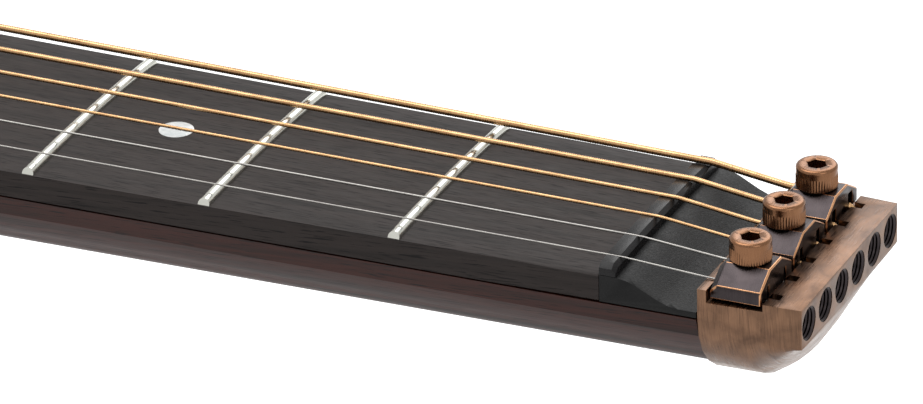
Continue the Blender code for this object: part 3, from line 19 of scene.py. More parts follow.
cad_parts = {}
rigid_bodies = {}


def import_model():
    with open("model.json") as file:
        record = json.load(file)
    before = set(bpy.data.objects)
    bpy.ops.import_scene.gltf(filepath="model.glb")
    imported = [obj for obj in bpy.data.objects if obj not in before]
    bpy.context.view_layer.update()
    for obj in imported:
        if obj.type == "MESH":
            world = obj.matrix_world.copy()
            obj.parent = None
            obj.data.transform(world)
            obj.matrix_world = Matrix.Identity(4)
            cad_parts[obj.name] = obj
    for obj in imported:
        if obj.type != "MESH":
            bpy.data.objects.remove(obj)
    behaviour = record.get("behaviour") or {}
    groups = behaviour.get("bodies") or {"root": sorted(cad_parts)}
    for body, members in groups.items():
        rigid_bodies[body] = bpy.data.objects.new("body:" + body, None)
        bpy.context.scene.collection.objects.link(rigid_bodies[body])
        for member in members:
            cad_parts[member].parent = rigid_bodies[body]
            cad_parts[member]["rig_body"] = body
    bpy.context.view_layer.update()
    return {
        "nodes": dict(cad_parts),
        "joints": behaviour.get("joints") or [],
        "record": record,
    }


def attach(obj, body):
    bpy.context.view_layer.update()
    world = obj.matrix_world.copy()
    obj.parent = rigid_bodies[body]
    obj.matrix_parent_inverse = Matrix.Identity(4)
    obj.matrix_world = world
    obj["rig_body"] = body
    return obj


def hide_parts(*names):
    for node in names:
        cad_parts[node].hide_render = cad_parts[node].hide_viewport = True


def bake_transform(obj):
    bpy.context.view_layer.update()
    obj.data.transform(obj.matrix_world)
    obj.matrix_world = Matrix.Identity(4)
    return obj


for leftover in list(bpy.data.objects):
    bpy.data.objects.remove(leftover, do_unlink=True)
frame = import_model()
JOINTS = {joint["name"]: joint for joint in frame["joints"]}
LOG = logging.getLogger("guitar")
IMAGE_WIDTH = 923
MERGE_DISTANCE = 0.000002

# Sizes in metres that more than one class reads
STRINGS = 6
SCALE_LENGTH = 0.6452
CAMBER_RADIUS = 0.406
FRET_HEIGHT = 0.0011
HEAD_PITCH = 0.0071
STRING_HOLE_HEIGHT = -0.0046

# Shader levels that every material shares
COAT_ROUGHNESS = 0.12
METAL_SPECULAR = 0.3
MATT_SPECULAR = 0.15
NOISE_LOW = 0.3
NOISE_HIGH = 0.7

# Sockets of Blender's Mix node when it mixes colours
MIX_FACTOR_IN, MIX_FIRST_IN, MIX_SECOND_IN, MIX_COLOUR_OUT = 0, 6, 7, 2

# Lays a turned shape's axis along the strings
LIE_ALONG = Matrix.Rotation(math.pi / 2, 4, "Y")

Socket = bpy.types.NodeSocket
Triple = tuple[float, float, float]


class Slot(Enum):
    """The record's material slots."""

    COPPER = "antique_copper"
    POLISHED = "polished_copper"
    GUNMETAL = "gunmetal"
    EBONY = "ebony"
    TEXTURE = "black_texture"
    NICKEL = "nickel"
    MAHOGANY = "mahogany"
    ROSEWOOD = "rosewood"
    SPRUCE = "spruce"
    BARE_WOOD = "bare_wood"
    BLACK = "black_plastic"
    BONE = "bone"
    STEEL = "plain_steel"
    BRONZE = "bronze_wound"
    TOOL_STEEL = "tool_steel"


class Graph:
    """A material's node tree, with short ways to add nodes."""

    def __init__(self, name: str, roughness: float, metallic: float, coat: float = 0.0) -> None:
        """Start a material.

        Args:
            name: the material's name.
            roughness: how rough it is where nothing varies it.
            metallic: 1 for a metal, 0 otherwise.
            coat: weight of a clear lacquer.
        """
        self.roughness = roughness
        self.material = bpy.data.materials.new(name)
        self.material.use_nodes = True
        self.tree = self.material.node_tree
        self.shader = self.tree.nodes["Principled BSDF"]
        self.shader.inputs["Roughness"].default_value = roughness
        self.shader.inputs["Metallic"].default_value = metallic
        self.shader.inputs["Coat Weight"].default_value = coat
        self.shader.inputs["Coat Roughness"].default_value = COAT_ROUGHNESS
        specular = METAL_SPECULAR if metallic else MATT_SPECULAR
        self.shader.inputs["Specular IOR Level"].default_value = specular

    def link(self, out: Socket, into: Socket) -> None:
        """Join two sockets."""
        self.tree.links.new(out, into)

    def coords(self, scale: Triple) -> Socket:
        """Object coordinates times a scale.

        Args:
            scale: repeats per metre along each axis.

        Returns:
            The vector socket.
        """
        place = self.tree.nodes.new("ShaderNodeTexCoord")
        mapping = self.tree.nodes.new("ShaderNodeMapping")
        mapping.inputs["Scale"].default_value = scale
        self.link(place.outputs["Object"], mapping.inputs["Vector"])
        return mapping.outputs["Vector"]

    def noise(self, scale: Triple, detail: float = 4.0, distortion: float = 0.0) -> Socket:
        """Noise with features of one over the scale.

        Args:
            scale: features per metre along each axis.
            detail: octaves.
            distortion: how much it swirls.

        Returns:
            The value socket.
        """
        texture = self.tree.nodes.new("ShaderNodeTexNoise")
        texture.inputs["Scale"].default_value = 1.0
        texture.inputs["Detail"].default_value = detail
        texture.inputs["Distortion"].default_value = distortion
        self.link(self.coords(scale), texture.inputs["Vector"])
        return texture.outputs["Fac"]

    def ramp(self, value: Socket, places: Iterable[float], colours: tuple[Triple, ...]) -> Socket:
        """Turn a value into a colour.

        Args:
            value: socket of the value.
            places: where the colours lie, from 0 to 1.
            colours: one for each place.

        Returns:
            The colour socket.
        """
        node = self.tree.nodes.new("ShaderNodeValToRGB")
        band = node.color_ramp
        while len(band.elements) < len(colours):
            band.elements.new(1.0)
        for element, place, colour in zip(band.elements, places, colours):
            element.position = place
            element.color = (*colour, 1.0)
        self.link(value, node.inputs["Fac"])
        return node.outputs["Color"]

    def spread(self, value: Socket, low: float, high: float) -> Socket:
        """Spread the middle of a noise over a range.

        Args:
            value: socket of the noise.
            low: result at the noise's low end.
            high: result at its high end.

        Returns:
            The value socket.
        """
        node = self.tree.nodes.new("ShaderNodeMapRange")
        node.inputs["From Min"].default_value = NOISE_LOW
        node.inputs["From Max"].default_value = NOISE_HIGH
        node.inputs["To Min"].default_value = low
        node.inputs["To Max"].default_value = high
        self.link(value, node.inputs["Value"])
        return node.outputs["Result"]

    def mix(self, share: Socket, first: Socket, second: Socket | Triple) -> Socket:
        """Mix two colours by a value.

        Args:
            share: socket of the second colour's share.
            first: socket of the first colour.
            second: socket of the second colour, or the colour itself.

        Returns:
            The colour socket.
        """
        node = self.tree.nodes.new("ShaderNodeMix")
        node.data_type = "RGBA"
        self.link(share, node.inputs[MIX_FACTOR_IN])
        self.link(first, node.inputs[MIX_FIRST_IN])
        if isinstance(second, tuple):
            node.inputs[MIX_SECOND_IN].default_value = (*second, 1.0)
        else:
            self.link(second, node.inputs[MIX_SECOND_IN])
        return node.outputs[MIX_COLOUR_OUT]

    def bump(self, value: Socket, strength: float, depth: float) -> None:
        """Raise the surface by a value.

        Args:
            value: socket of the height.
            strength: how strongly it shows.
            depth: full height in metres.
        """
        node = self.tree.nodes.new("ShaderNodeBump")
        node.inputs["Strength"].default_value = strength
        node.inputs["Distance"].default_value = depth
        self.link(value, node.inputs["Height"])
        self.link(node.outputs["Normal"], self.shader.inputs["Normal"])

    def paint(self, colour: Socket) -> None:
        """Use a socket as the base colour."""
        self.link(colour, self.shader.inputs["Base Color"])

    def vary_roughness(self, value: Socket, shares: tuple[float, float]) -> None:
        """Let a noise swing the roughness.

        Args:
            value: socket of the noise.
            shares: multiples of the material's roughness at the noise's low and high ends.
        """
        low, high = (self.roughness * share for share in shares)
        self.link(self.spread(value, low, high), self.shader.inputs["Roughness"])


@dataclass(frozen=True)
class BrushedMetal:
    """A metal with fine brush lines and a patina in patches."""

    name: str
    bright: Triple
    dark: Triple
    roughness: float
    brush: Triple = (5200.0, 260.0, 260.0)
    patina: float = 240.0
    depth: float = 0.00003
    patina_stops: Triple = (0.32, 0.5, 0.68)
    brush_stops: tuple[float, float] = (0.3, 0.62)
    fresh_share: tuple[float, float] = (0.25, 0.6)
    gloss_swing: tuple[float, float] = (0.75, 1.3)
    bump_strength: float = 0.5

    def make(self) -> bpy.types.Material:
        """Build the material.

        Returns:
            The finished material.
        """
        graph = Graph(self.name, self.roughness, metallic=1.0)
        cloud = graph.noise((self.patina,) * 3, detail=6.0, distortion=0.6)
        lines = graph.noise(self.brush, detail=3.0)
        middle = tuple((one + two) / 2 for one, two in zip(self.bright, self.dark))
        aged = graph.ramp(cloud, self.patina_stops, (self.dark, middle, self.bright))
        fresh = graph.ramp(lines, self.brush_stops, (self.dark, self.bright))
        graph.paint(graph.mix(graph.spread(cloud, *self.fresh_share), aged, fresh))
        graph.vary_roughness(lines, self.gloss_swing)
        graph.bump(lines, self.bump_strength, self.depth)
        return graph.material


@dataclass(frozen=True)
class GrainedWood:
    """A wood with long streaks, growth bands and open pores along the neck."""

    name: str
    light: Triple
    dark: Triple
    pore: Triple
    roughness: float
    coat: float
    streak: Triple = (9.0, 330.0, 330.0)
    pores: Triple = (170.0, 4300.0, 4300.0)
    pore_share: float = 0.4
    pore_softness: float = 0.06
    band_stops: Triple = (0.3, 0.52, 0.72)
    gloss_swing: tuple[float, float] = (1.2, 0.85)
    bump_strength: float = 0.25
    depth: float = 0.00004

    def make(self) -> bpy.types.Material:
        """Build the material.

        Returns:
            The finished material.
        """
        graph = Graph(self.name, self.roughness, metallic=0.0, coat=self.coat)
        streaks = graph.noise(self.streak, detail=5.0, distortion=0.35)
        fibres = graph.noise(self.pores, detail=2.0)
        wood = graph.ramp(streaks, self.band_stops, (self.dark, self.light, self.dark))
        rim = (self.pore_share - self.pore_softness, self.pore_share)
        holes = graph.ramp(fibres, rim, ((1, 1, 1), (0, 0, 0)))
        graph.paint(graph.mix(holes, wood, self.pore))
        graph.vary_roughness(fibres, self.gloss_swing)
        graph.bump(fibres, self.bump_strength, self.depth)
        return graph.material


@dataclass(frozen=True)
class Moulded:
    """A plastic, lacquer, bone or pearl with a fine texture."""

    name: str
    colour: Triple
    second: Triple
    roughness: float
    grain: float = 2600.0
    depth: float = 0.00002
    cloud: float = 60.0
    cloud_stops: tuple[float, float] = (0.35, 0.65)
    gloss_swing: tuple[float, float] = (0.85, 1.15)
    bump_strength: float = 0.5

    def make(self) -> bpy.types.Material:
        """Build the material.

        Returns:
            The finished material.
        """
        graph = Graph(self.name, self.roughness, metallic=0.0)
        drift = graph.noise((self.cloud,) * 3, detail=4.0, distortion=0.8)
        pebbles = graph.noise((self.grain,) * 3, detail=2.0)
        graph.paint(graph.ramp(drift, self.cloud_stops, (self.colour, self.second)))
        graph.vary_roughness(pebbles, self.gloss_swing)
        graph.bump(pebbles, self.bump_strength, self.depth)
        return graph.material


Finish = BrushedMetal | GrainedWood | Moulded


@dataclass(frozen=True)
class Palette:
    """Every finish on the guitar, made once. A slot's finish has the slot's name in small letters."""

    copper: Finish = BrushedMetal("antique_copper", (0.200, 0.112, 0.068), (0.070, 0.041, 0.028), 0.32)
    worn: Finish = BrushedMetal("worn_copper_edge", (0.58, 0.31, 0.16), (0.34, 0.17, 0.085), 0.26)
    polished: Finish = BrushedMetal("polished_copper", (0.225, 0.112, 0.058),
                                    (0.150, 0.072, 0.038), 0.26)
    gunmetal: Finish = BrushedMetal("gunmetal", (0.050, 0.041, 0.042), (0.026, 0.022, 0.023), 0.3)
    nickel: Finish = BrushedMetal("nickel", (0.60, 0.60, 0.55), (0.54, 0.54, 0.49), 0.2,
                                  (600.0, 5200.0, 600.0))
    steel: Finish = BrushedMetal("plain_steel", (0.30, 0.29, 0.27), (0.20, 0.19, 0.18), 0.22)
    bronze: Finish = BrushedMetal("bronze_wound", (0.58, 0.36, 0.18), (0.34, 0.19, 0.09), 0.26)
    tool_steel: Finish = BrushedMetal("tool_steel", (0.42, 0.42, 0.43), (0.25, 0.25, 0.26), 0.38)
    ebony: Finish = GrainedWood("ebony", (0.030, 0.023, 0.021), (0.014, 0.011, 0.010),
                                (0.004, 0.003, 0.003), 0.5, 0.0, (14.0, 520.0, 520.0))
    mahogany: Finish = GrainedWood("mahogany", (0.044, 0.010, 0.006), (0.008, 0.003, 0.002),
                                   (0.004, 0.001, 0.001), 0.36, 0.02)
    rosewood: Finish = GrainedWood("rosewood", (0.150, 0.060, 0.034), (0.055, 0.020, 0.014),
                                   (0.025, 0.010, 0.008), 0.32, 0.5, (5.0, 90.0, 90.0))
    spruce: Finish = GrainedWood("spruce", (0.74, 0.52, 0.28), (0.62, 0.40, 0.19),
                                 (0.55, 0.34, 0.16), 0.34, 0.5, (1.2, 620.0, 620.0),
                                 (12.0, 2600.0, 2600.0), 0.34)
    bare_wood: Finish = GrainedWood("bare_wood", (0.66, 0.48, 0.29), (0.54, 0.37, 0.21),
                                    (0.42, 0.28, 0.15), 0.62, 0.0)
    texture: Finish = Moulded("black_texture", (0.008, 0.008, 0.008), (0.016, 0.016, 0.016), 0.5,
                              3200.0, 0.00012)
    black: Finish = Moulded("black_plastic", (0.009, 0.009, 0.010), (0.015, 0.014, 0.014), 0.28)
    bone: Finish = Moulded("bone", (0.85, 0.80, 0.68), (0.78, 0.71, 0.57), 0.38)
    pearl: Finish = Moulded("pearl", (0.86, 0.87, 0.86), (0.66, 0.70, 0.70), 0.16, 2600.0, 0.00001, 700.0)
    made: dict[str, bpy.types.Material] = field(default_factory=dict)

    def get(self, finish: Finish) -> bpy.types.Material:
        """Give a finish's material.

        Args:
            finish: one of the palette's finishes.

        Returns:
            The material, built at its first use.
        """
        if finish.name not in self.made:
            self.made[finish.name] = finish.make()
        return self.made[finish.name]


PALETTE = Palette()
SLOT_FINISHES = {slot: getattr(PALETTE, slot.name.lower()) for slot in Slot}


@dataclass(frozen=True)
class NeckFrame:
    """Neck coordinates, read from the joints on the head and the truss rod."""

    clamp_centre: float = 0.0234
    screw_seat: float = 0.0033

    def matrix(self) -> Matrix:
        """Neck coordinates to the world.

        Returns:
            The matrix that carries a point from the neck's coordinates into the world's.
        """
        along = Vector(JOINTS["truss_rod_turn"]["axis"]).normalized()
        screw = JOINTS["clamp_screw_turn_middle"]
        up = Vector(screw["axis"]).normalized()
        across = up.cross(along)
        seat = Vector(screw["pos_m"])
        placed = Matrix((along, across, up)).transposed().to_4x4()
        placed.translation = seat - along * self.clamp_centre - up * self.screw_seat
        return placed


NECK = NeckFrame().matrix()


def string_y(number: int, pitch: float) -> float:
    """Place of a string across the neck at a spacing."""
    return (number - (STRINGS + 1) / 2) * pitch


def camber_drop(y: float) -> float:
    """How far the cambered board has fallen at a distance from the centre line."""
    return CAMBER_RADIUS - math.sqrt(CAMBER_RADIUS ** 2 - y ** 2)


def body_of(node: str) -> str:
    """Name of the body that a node rides on."""
    return frame["nodes"][node]["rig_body"]


def round_edges(bm: bmesh.types.BMesh, edges: list[bmesh.types.BMEdge], width: float,
                segments: int = 3) -> list[bmesh.types.BMFace]:
    """Round edges.

    Args:
        bm: the shape.
        edges: the edges to round.
        width: how far the rounding reaches from each edge.
        segments: facets across it.

    Returns:
        The new faces.
    """
    made = bmesh.ops.bevel(bm, geom=edges, offset=width, offset_type="OFFSET", segments=segments,
                           profile=0.5, affect="EDGES", clamp_overlap=True, material=-1)
    return made["faces"]


def spun(profile: Iterable[tuple[float, float]], steps: int, closed: bool = True) -> bmesh.types.BMesh:
    """Spin a profile round local Z.

    Args:
        profile: radius and level of each point.
        steps: facets in a turn.
        closed: whether the last point joins the first.

    Returns:
        The spun shape.
    """
    bm = bmesh.new()
    line = [bm.verts.new((radius, 0, level)) for radius, level in profile]
    after = line[1:] + line[:1] if closed else line[1:]
    edges = [bm.edges.new(pair) for pair in zip(line, after)]
    bmesh.ops.spin(bm, geom=line + edges, cent=(0, 0, 0), axis=(0, 0, 1), dvec=(0, 0, 0),
                   angle=2 * math.pi, steps=steps, use_merge=True)
    return bm


def add_object(name: str, data: bpy.types.ID) -> bpy.types.Object:
    """Put an object in the scene.

    Args:
        name: its name.
        data: its mesh, light or camera.

    Returns:
        The object.
    """
    item = bpy.data.objects.new(name, data)
    bpy.context.scene.collection.objects.link(item)
    return item


def to_object(name: str, bm: bmesh.types.BMesh, finishes: list[Finish],
              sharp: float = 32.0) -> bpy.types.Object:
    """Turn a bmesh into a smooth-shaded object at the origin.

    Args:
        name: the object's name.
        bm: the shape, in world coordinates. It is freed.
        finishes: one finish for each material index.
        sharp: angle in degrees past which an edge stays sharp.

    Returns:
        The object.
    """
    mesh = bpy.data.meshes.new(name)
    bm.to_mesh(mesh)
    bm.free()
    mesh.shade_smooth()
    mesh.set_sharp_from_angle(angle=math.radians(sharp))
    for finish in finishes:
        mesh.materials.append(PALETTE.get(finish))
    return add_object(name, mesh)


def dress(item: bpy.types.Object, body: str, slot: Slot, *stands_for: str) -> bpy.types.Object:
    """Ride a piece on its body and hide the nodes that it stands for.

    Args:
        item: the finished piece.
        body: body that carries it.
        slot: not used.
        stands_for: nodes that it replaces.

    Returns:
        The same piece.
    """
    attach(item, body)
    if stands_for:
        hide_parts(*stands_for)
    LOG.info("%s: %d faces on %s", item.name, len(item.data.polygons), body)
    return item


def in_neck(bm: bmesh.types.BMesh, place: Matrix = Matrix.Identity(4)) -> bmesh.types.BMesh:
    """Move a shape from its own coordinates into the world by way of the neck's.

    Args:
        bm: the shape.
        place: its place in neck coordinates.

    Returns:
        The same bmesh, its faces pointing out.
    """
    bmesh.ops.transform(bm, matrix=NECK @ place, verts=bm.verts)
    bmesh.ops.recalc_face_normals(bm, faces=bm.faces)
    return bm


@dataclass(frozen=True)
class Refined:
    """A node's own shape, with its seams merged and its long edges rounded.

    Attributes:
        node: the node that it copies and replaces.
        slot: its material slot.
        width: how far the rounding reaches from an edge, or 0 for none.
        least: edges shorter than this stay as they are.
        worn: finish of the rounded edges, where it isn't the slot's.
        strip: faces narrower than this take the worn finish too.
        angle: edges flatter than this many degrees stay as they are.
        sharp: angle in degrees past which an edge is shaded sharp.
        flat: angle in degrees under which neighbouring faces become one.
    """

    node: str
    slot: Slot
    width: float = 0.0
    least: float = 0.0015
    worn: Finish | None = None
    strip: float = 0.0
    angle: float = 28.0
    sharp: float = 32.0
    flat: float = 0.4

    def build(self) -> bpy.types.Object:
        """Make the rounded copy.

        Returns:
            The piece that stands for the node.
        """
        bm = bmesh.new()
        bm.from_mesh(frame["nodes"][self.node].data)
        bmesh.ops.remove_doubles(bm, verts=bm.verts, dist=MERGE_DISTANCE)
        bmesh.ops.dissolve_limit(bm, angle_limit=math.radians(self.flat), verts=bm.verts, edges=bm.edges)
        bm.normal_update()
        for face in bm.faces:
            longest = max(edge.calc_length() for edge in face.edges)
            face.material_index = int(face.calc_area() < self.strip * longest)
        if self.width:
            limit = math.radians(self.angle)
            corners = [edge for edge in bm.edges if len(edge.link_faces) == 2
                       and edge.calc_length() > self.least and edge.calc_face_angle(0.0) > limit]
            for face in round_edges(bm, corners, self.width):
                face.material_index = int(self.worn is not None)
        finishes = [SLOT_FINISHES[self.slot], self.worn or SLOT_FINISHES[self.slot]]
        item = to_object(f"{self.node}_dressed", bm, finishes, self.sharp)
        return dress(item, body_of(self.node), self.slot, self.node)


@dataclass(frozen=True)
class Fingerboard:
    """The fingerboard with its frets and position marks."""

    frets: int = 20
    loose: int = 3
    thickness: float = 0.0053
    overhang: float = 0.005
    nut_width: float = 0.0438
    twelfth_width: float = 0.054
    cells: tuple[int, int] = (24, 16)
    rim_angle: float = 1.0
    rim_rounding: float = 0.0003
    fret_width: float = 0.0021
    fret_steps: int = 10
    sweep_steps: int = 12
    crown_power: float = 0.8
    fret_slant: float = 0.55
    slanted_from: float = 0.97
    fret_sharp: float = 50.0
    end_margin: float = 0.0002
    mark_radius: float = 0.003
    side_mark_radius: float = 0.001
    mark_sides: int = 40
    mark_rise: float = 0.00004
    mark_depth: float = 0.0004
    marks: tuple[int, ...] = (3, 5, 7, 9, 12, 15, 17, 19)
    double_mark: int = 12

    def fret_x(self, number: int) -> float:
        """Place of a fret along the strings."""
        return -SCALE_LENGTH * (1 - 2 ** (-number / 12))

    def half_width(self, x: float) -> float:
        """Half the board's width at a place along it."""
        gain = (self.twelfth_width - self.nut_width) / 2
        return self.nut_width / 2 + gain * x / self.fret_x(12)

    def board(self) -> None:
        """The board itself, cambered and tapered."""
        bm = bmesh.new()
        bmesh.ops.create_grid(bm, x_segments=self.cells[0], y_segments=self.cells[1], size=0.5)
        bmesh.ops.extrude_face_region(bm, geom=bm.faces[:])
        top = set(bm.verts[:len(bm.verts) // 2])
        end = self.fret_x(self.frets) - self.overhang
        for vert in bm.verts:
            x = end * (0.5 - vert.co.x)
            y = 2 * vert.co.y * self.half_width(x)
            vert.co = (x, y, -camber_drop(y) if vert in top else -self.thickness)
        rims = [edge for edge in bm.edges if edge.calc_face_angle(0.0) > self.rim_angle]
        round_edges(bm, rims, self.rim_rounding)
        item = to_object("fingerboard_dressed", in_neck(bm), [PALETTE.ebony])
        dress(item, "root", Slot.EBONY, "fingerboard")

    def fret(self, number: int) -> None:
        """One fret: a half-round crown spun over the camber, its ends slanted.

        Args:
            number: the fret's number, from 1 at the nut.
        """
        x = self.fret_x(number)
        half = self.half_width(x) - self.end_margin
        sweep = math.asin(half / CAMBER_RADIUS)
        centre = Vector((x, 0, -CAMBER_RADIUS))
        bm = bmesh.new()
        points = []
        for step in range(self.fret_steps + 1):
            turn = math.pi * step / self.fret_steps
            rise = FRET_HEIGHT * math.sin(turn) ** self.crown_power
            points.append(bm.verts.new((x + math.cos(turn) * self.fret_width / 2, 0, rise)))
        bm.faces.new(points)
        bmesh.ops.rotate(bm, verts=bm.verts, cent=centre, matrix=Matrix.Rotation(sweep, 3, "X"))
        bmesh.ops.spin(bm, geom=bm.verts[:] + bm.edges[:] + bm.faces[:], cent=centre, axis=(1, 0, 0),
                       dvec=(0, 0, 0), angle=-2 * sweep, steps=self.sweep_steps)
        for vert in bm.verts:
            if abs(vert.co.y) > half * self.slanted_from:
                rise = max(vert.co.z + camber_drop(half), 0.0)
                vert.co.y -= math.copysign(rise * self.fret_slant, vert.co.y)
        own = number <= self.loose
        name = f"fret_{number:02d}_dressed" if own else f"fret_{number:02d}"
        item = to_object(name, in_neck(bm), [PALETTE.nickel], self.fret_sharp)
        dress(item, "root", Slot.NICKEL, *([f"fret_{number:02d}"] if own else []))

    def mark(self, name: str, place: Matrix, radius: float) -> None:
        """A pearl disc let into the board, a hair proud.

        Args:
            name: the piece's name.
            place: the middle of the board's face there, local Z pointing out.
            radius: the disc's radius.
        """
        bm = bmesh.new()
        bmesh.ops.create_cone(bm, cap_ends=True, segments=self.mark_sides, radius1=radius,
                              radius2=radius, depth=self.mark_depth)
        top = [edge for edge in bm.edges if all(vert.co.z > 0 for vert in edge.verts)]
        round_edges(bm, top, self.mark_rise, segments=2)
        lowered = place @ Matrix.Translation((0, 0, self.mark_rise - self.mark_depth / 2))
        dress(to_object(name, in_neck(bm, lowered), [PALETTE.pearl]), "root", Slot.BONE)

    def build(self) -> None:
        """Make the board, all frets and all marks."""
        self.board()
        for number in range(1, self.frets + 1):
            self.fret(number)
        for number in self.marks:
            x = (self.fret_x(number) + self.fret_x(number - 1)) / 2
            half = self.half_width(x)
            spots = (-half / 2, half / 2) if number == self.double_mark else (0.0,)
            for index, y in enumerate(spots, start=1):
                spot = Matrix.Translation((x, y, -camber_drop(y)))
                self.mark(f"position_mark_{number}_{index}", spot, self.mark_radius)
            edge = Matrix.Translation((x, half, -self.thickness / 2))
            outward = Matrix.Rotation(-math.pi / 2, 4, "X")
            self.mark(f"side_mark_{number}", edge @ outward, self.side_mark_radius)


@dataclass(frozen=True)
class KnurledTurning:
    """A turned, knurled head on a shaft, with an optional hexagon socket.

    Attributes:
        profile: radius and level of each point of the outline.
        knurl: lowest and highest level of the teeth.
        teeth: how many teeth go round.
        tooth: how deep they are.
        toothed_from: share of the widest radius past which a point is on the band.
        socket: width across the socket's flats, or 0 for none.
        socket_lead: depth of the socket's countersink.
        socket_depth: depth of the socket below it.
    """

    profile: tuple[tuple[float, float], ...]
    knurl: tuple[float, float]
    teeth: int = 48
    tooth: float = 0.00014
    toothed_from: float = 0.97
    socket: float = 0.0
    socket_lead: float = 0.00015
    socket_depth: float = 0.002

    def build(self) -> bmesh.types.BMesh:
        """Spin the profile, press the teeth and sink the socket.

        Returns:
            The shape, its axis on local Z.
        """
        bm = spun(self.profile, 2 * self.teeth, closed=False)
        bmesh.ops.remove_doubles(bm, verts=bm.verts, dist=MERGE_DISTANCE)
        low, high = self.knurl
        band = max(radius for radius, _ in self.profile) * self.toothed_from
        for vert in bm.verts:
            reach = vert.co.xy.length
            if low < vert.co.z < high and reach > band:
                turn = math.atan2(vert.co.y, vert.co.x)
                valley = round(turn * self.teeth / math.pi) % 2
                vert.co.xy *= (reach - valley * self.tooth) / reach
        if self.socket:
            self.sink(bm)
        return bm

    def sink(self, bm: bmesh.types.BMesh) -> None:
        """Close the open top with a hexagon socket.

        Args:
            bm: the turned shape, open at its top.
        """
        ring = [edge for edge in bm.edges if edge.is_boundary]
        for depth in (self.socket_lead, self.socket_depth):
            grown = bmesh.ops.extrude_edge_only(bm, edges=ring)["geom"]
            ring = [part for part in grown if isinstance(part, bmesh.types.BMEdge)]
            for vert in {vert for edge in ring for vert in edge.verts}:
                turn = math.atan2(vert.co.y, vert.co.x) % (math.pi / 3) - math.pi / 6
                reach = self.socket / 2 / math.cos(turn)
                vert.co.xy *= reach / vert.co.xy.length
                vert.co.z -= depth
        bmesh.ops.holes_fill(bm, edges=ring)


@dataclass(frozen=True)
class StringClamps:
    """Three clamp blocks and their socket-head screws."""

    head_radius: float = 0.0035
    head_height: float = 0.004
    shank: float = 0.002
    tip: float = -0.0106
    rim: float = 0.0006
    rim_steps: int = 5
    foot_chamfer: float = 0.0002
    groove: float = 0.0001
    knurl_top: float = 0.0023
    socket: float = 0.003
    mouth_share: float = 0.62
    block_rounding: float = 0.00016
    block_chamfer: float = 0.00034

    def screw(self) -> KnurledTurning:
        """The screw's shape: a knurled lower band under a plain rounded rim.

        Returns:
            The turning, with the head's seat at local z = 0.
        """
        radius, high, groove = self.head_radius, self.head_height, self.groove
        turns = [math.pi / 2 * step / self.rim_steps for step in range(self.rim_steps + 1)]
        rim = tuple((radius - self.rim * (1 - math.cos(turn)), high - self.rim + self.rim * math.sin(turn))
                    for turn in turns)
        foot = ((0, self.tip), (self.shank, self.tip), (self.shank, 0), (radius - self.foot_chamfer, 0))
        band = ((radius, self.foot_chamfer), (radius, self.knurl_top),
                (radius - groove, self.knurl_top + groove))
        profile = foot + band + rim + ((self.socket * self.mouth_share, high),)
        return KnurledTurning(profile, (groove, self.knurl_top + groove / 2), socket=self.socket)

    def build(self) -> None:
        """Dress the blocks and make the screws."""
        for label in ("treble", "middle", "bass"):
            Refined(f"clamp_block_{label}", Slot.GUNMETAL, self.block_rounding, least=0.0012,
                    worn=PALETTE.worn, strip=self.block_chamfer, sharp=20.0).build()
            seat = Vector(JOINTS[f"clamp_screw_turn_{label}"]["pos_m"])
            place = Matrix.Translation(NECK.inverted() @ seat)
            item = to_object(f"clamp_screw_{label}_dressed", in_neck(self.screw().build(), place),
                             [PALETTE.polished])
            dress(item, body_of(f"clamp_screw_{label}"), Slot.POLISHED, f"clamp_screw_{label}")


@dataclass(frozen=True)
class TailTuners:
    """The tuner frame, its carriages and the knurled knobs."""

    knob_radius: float = 0.0048
    knob_length: float = 0.015
    bore: float = 0.0023
    floor: float = 0.0015
    rounding: float = 0.0008
    dish: tuple[float, float] = (0.5, 0.4)
    groove: Triple = (3.0, 2.7, 2.4)
    teeth: int = 44
    tooth: float = 0.00022

    def knob(self) -> KnurledTurning:
        """The knob's shape.

        Returns:
            The turning, its open end at local z = 0.
        """
        radius, far, ease = self.knob_radius, -self.knob_length, self.rounding
        inside = far + self.floor
        near_lip, valley, far_lip = (far + share * ease for share in self.groove)
        profile = ((0, inside), (self.bore, inside), (self.bore, 0), (radius - ease, 0), (radius, -ease),
                   (radius, near_lip), (radius - ease / 4, valley), (radius, far_lip),
                   (radius, far + ease), (radius - ease, far), (radius * self.dish[0], far),
                   (radius * self.dish[1], far + ease / 2), (0, far + ease / 2))
        return KnurledTurning(profile, ((near_lip + valley) / 2, -ease / 2), self.teeth, self.tooth)

    def build(self) -> None:
        """Dress the frame and carriages and make the knobs."""
        Refined("tuner_frame", Slot.COPPER, 0.00025, least=0.0018, worn=PALETTE.worn).build()
        for number in range(1, STRINGS + 1):
            Refined(f"tuner_carriage_{number}", Slot.GUNMETAL, 0.00018, least=0.0012,
                    worn=PALETTE.worn).build()
            seat = NECK.inverted() @ Vector(JOINTS[f"tuner_knob_turn_{number}"]["pos_m"])
            bm = in_neck(self.knob().build(), Matrix.Translation(seat) @ LIE_ALONG)
            item = to_object(f"tuner_knob_{number}_dressed", bm, [PALETTE.polished])
            dress(item, body_of(f"tuner_knob_{number}"), Slot.POLISHED, f"tuner_knob_{number}")
        for label in ("bass", "treble"):
            Refined(f"tuner_frame_screw_{label}", Slot.POLISHED).build()


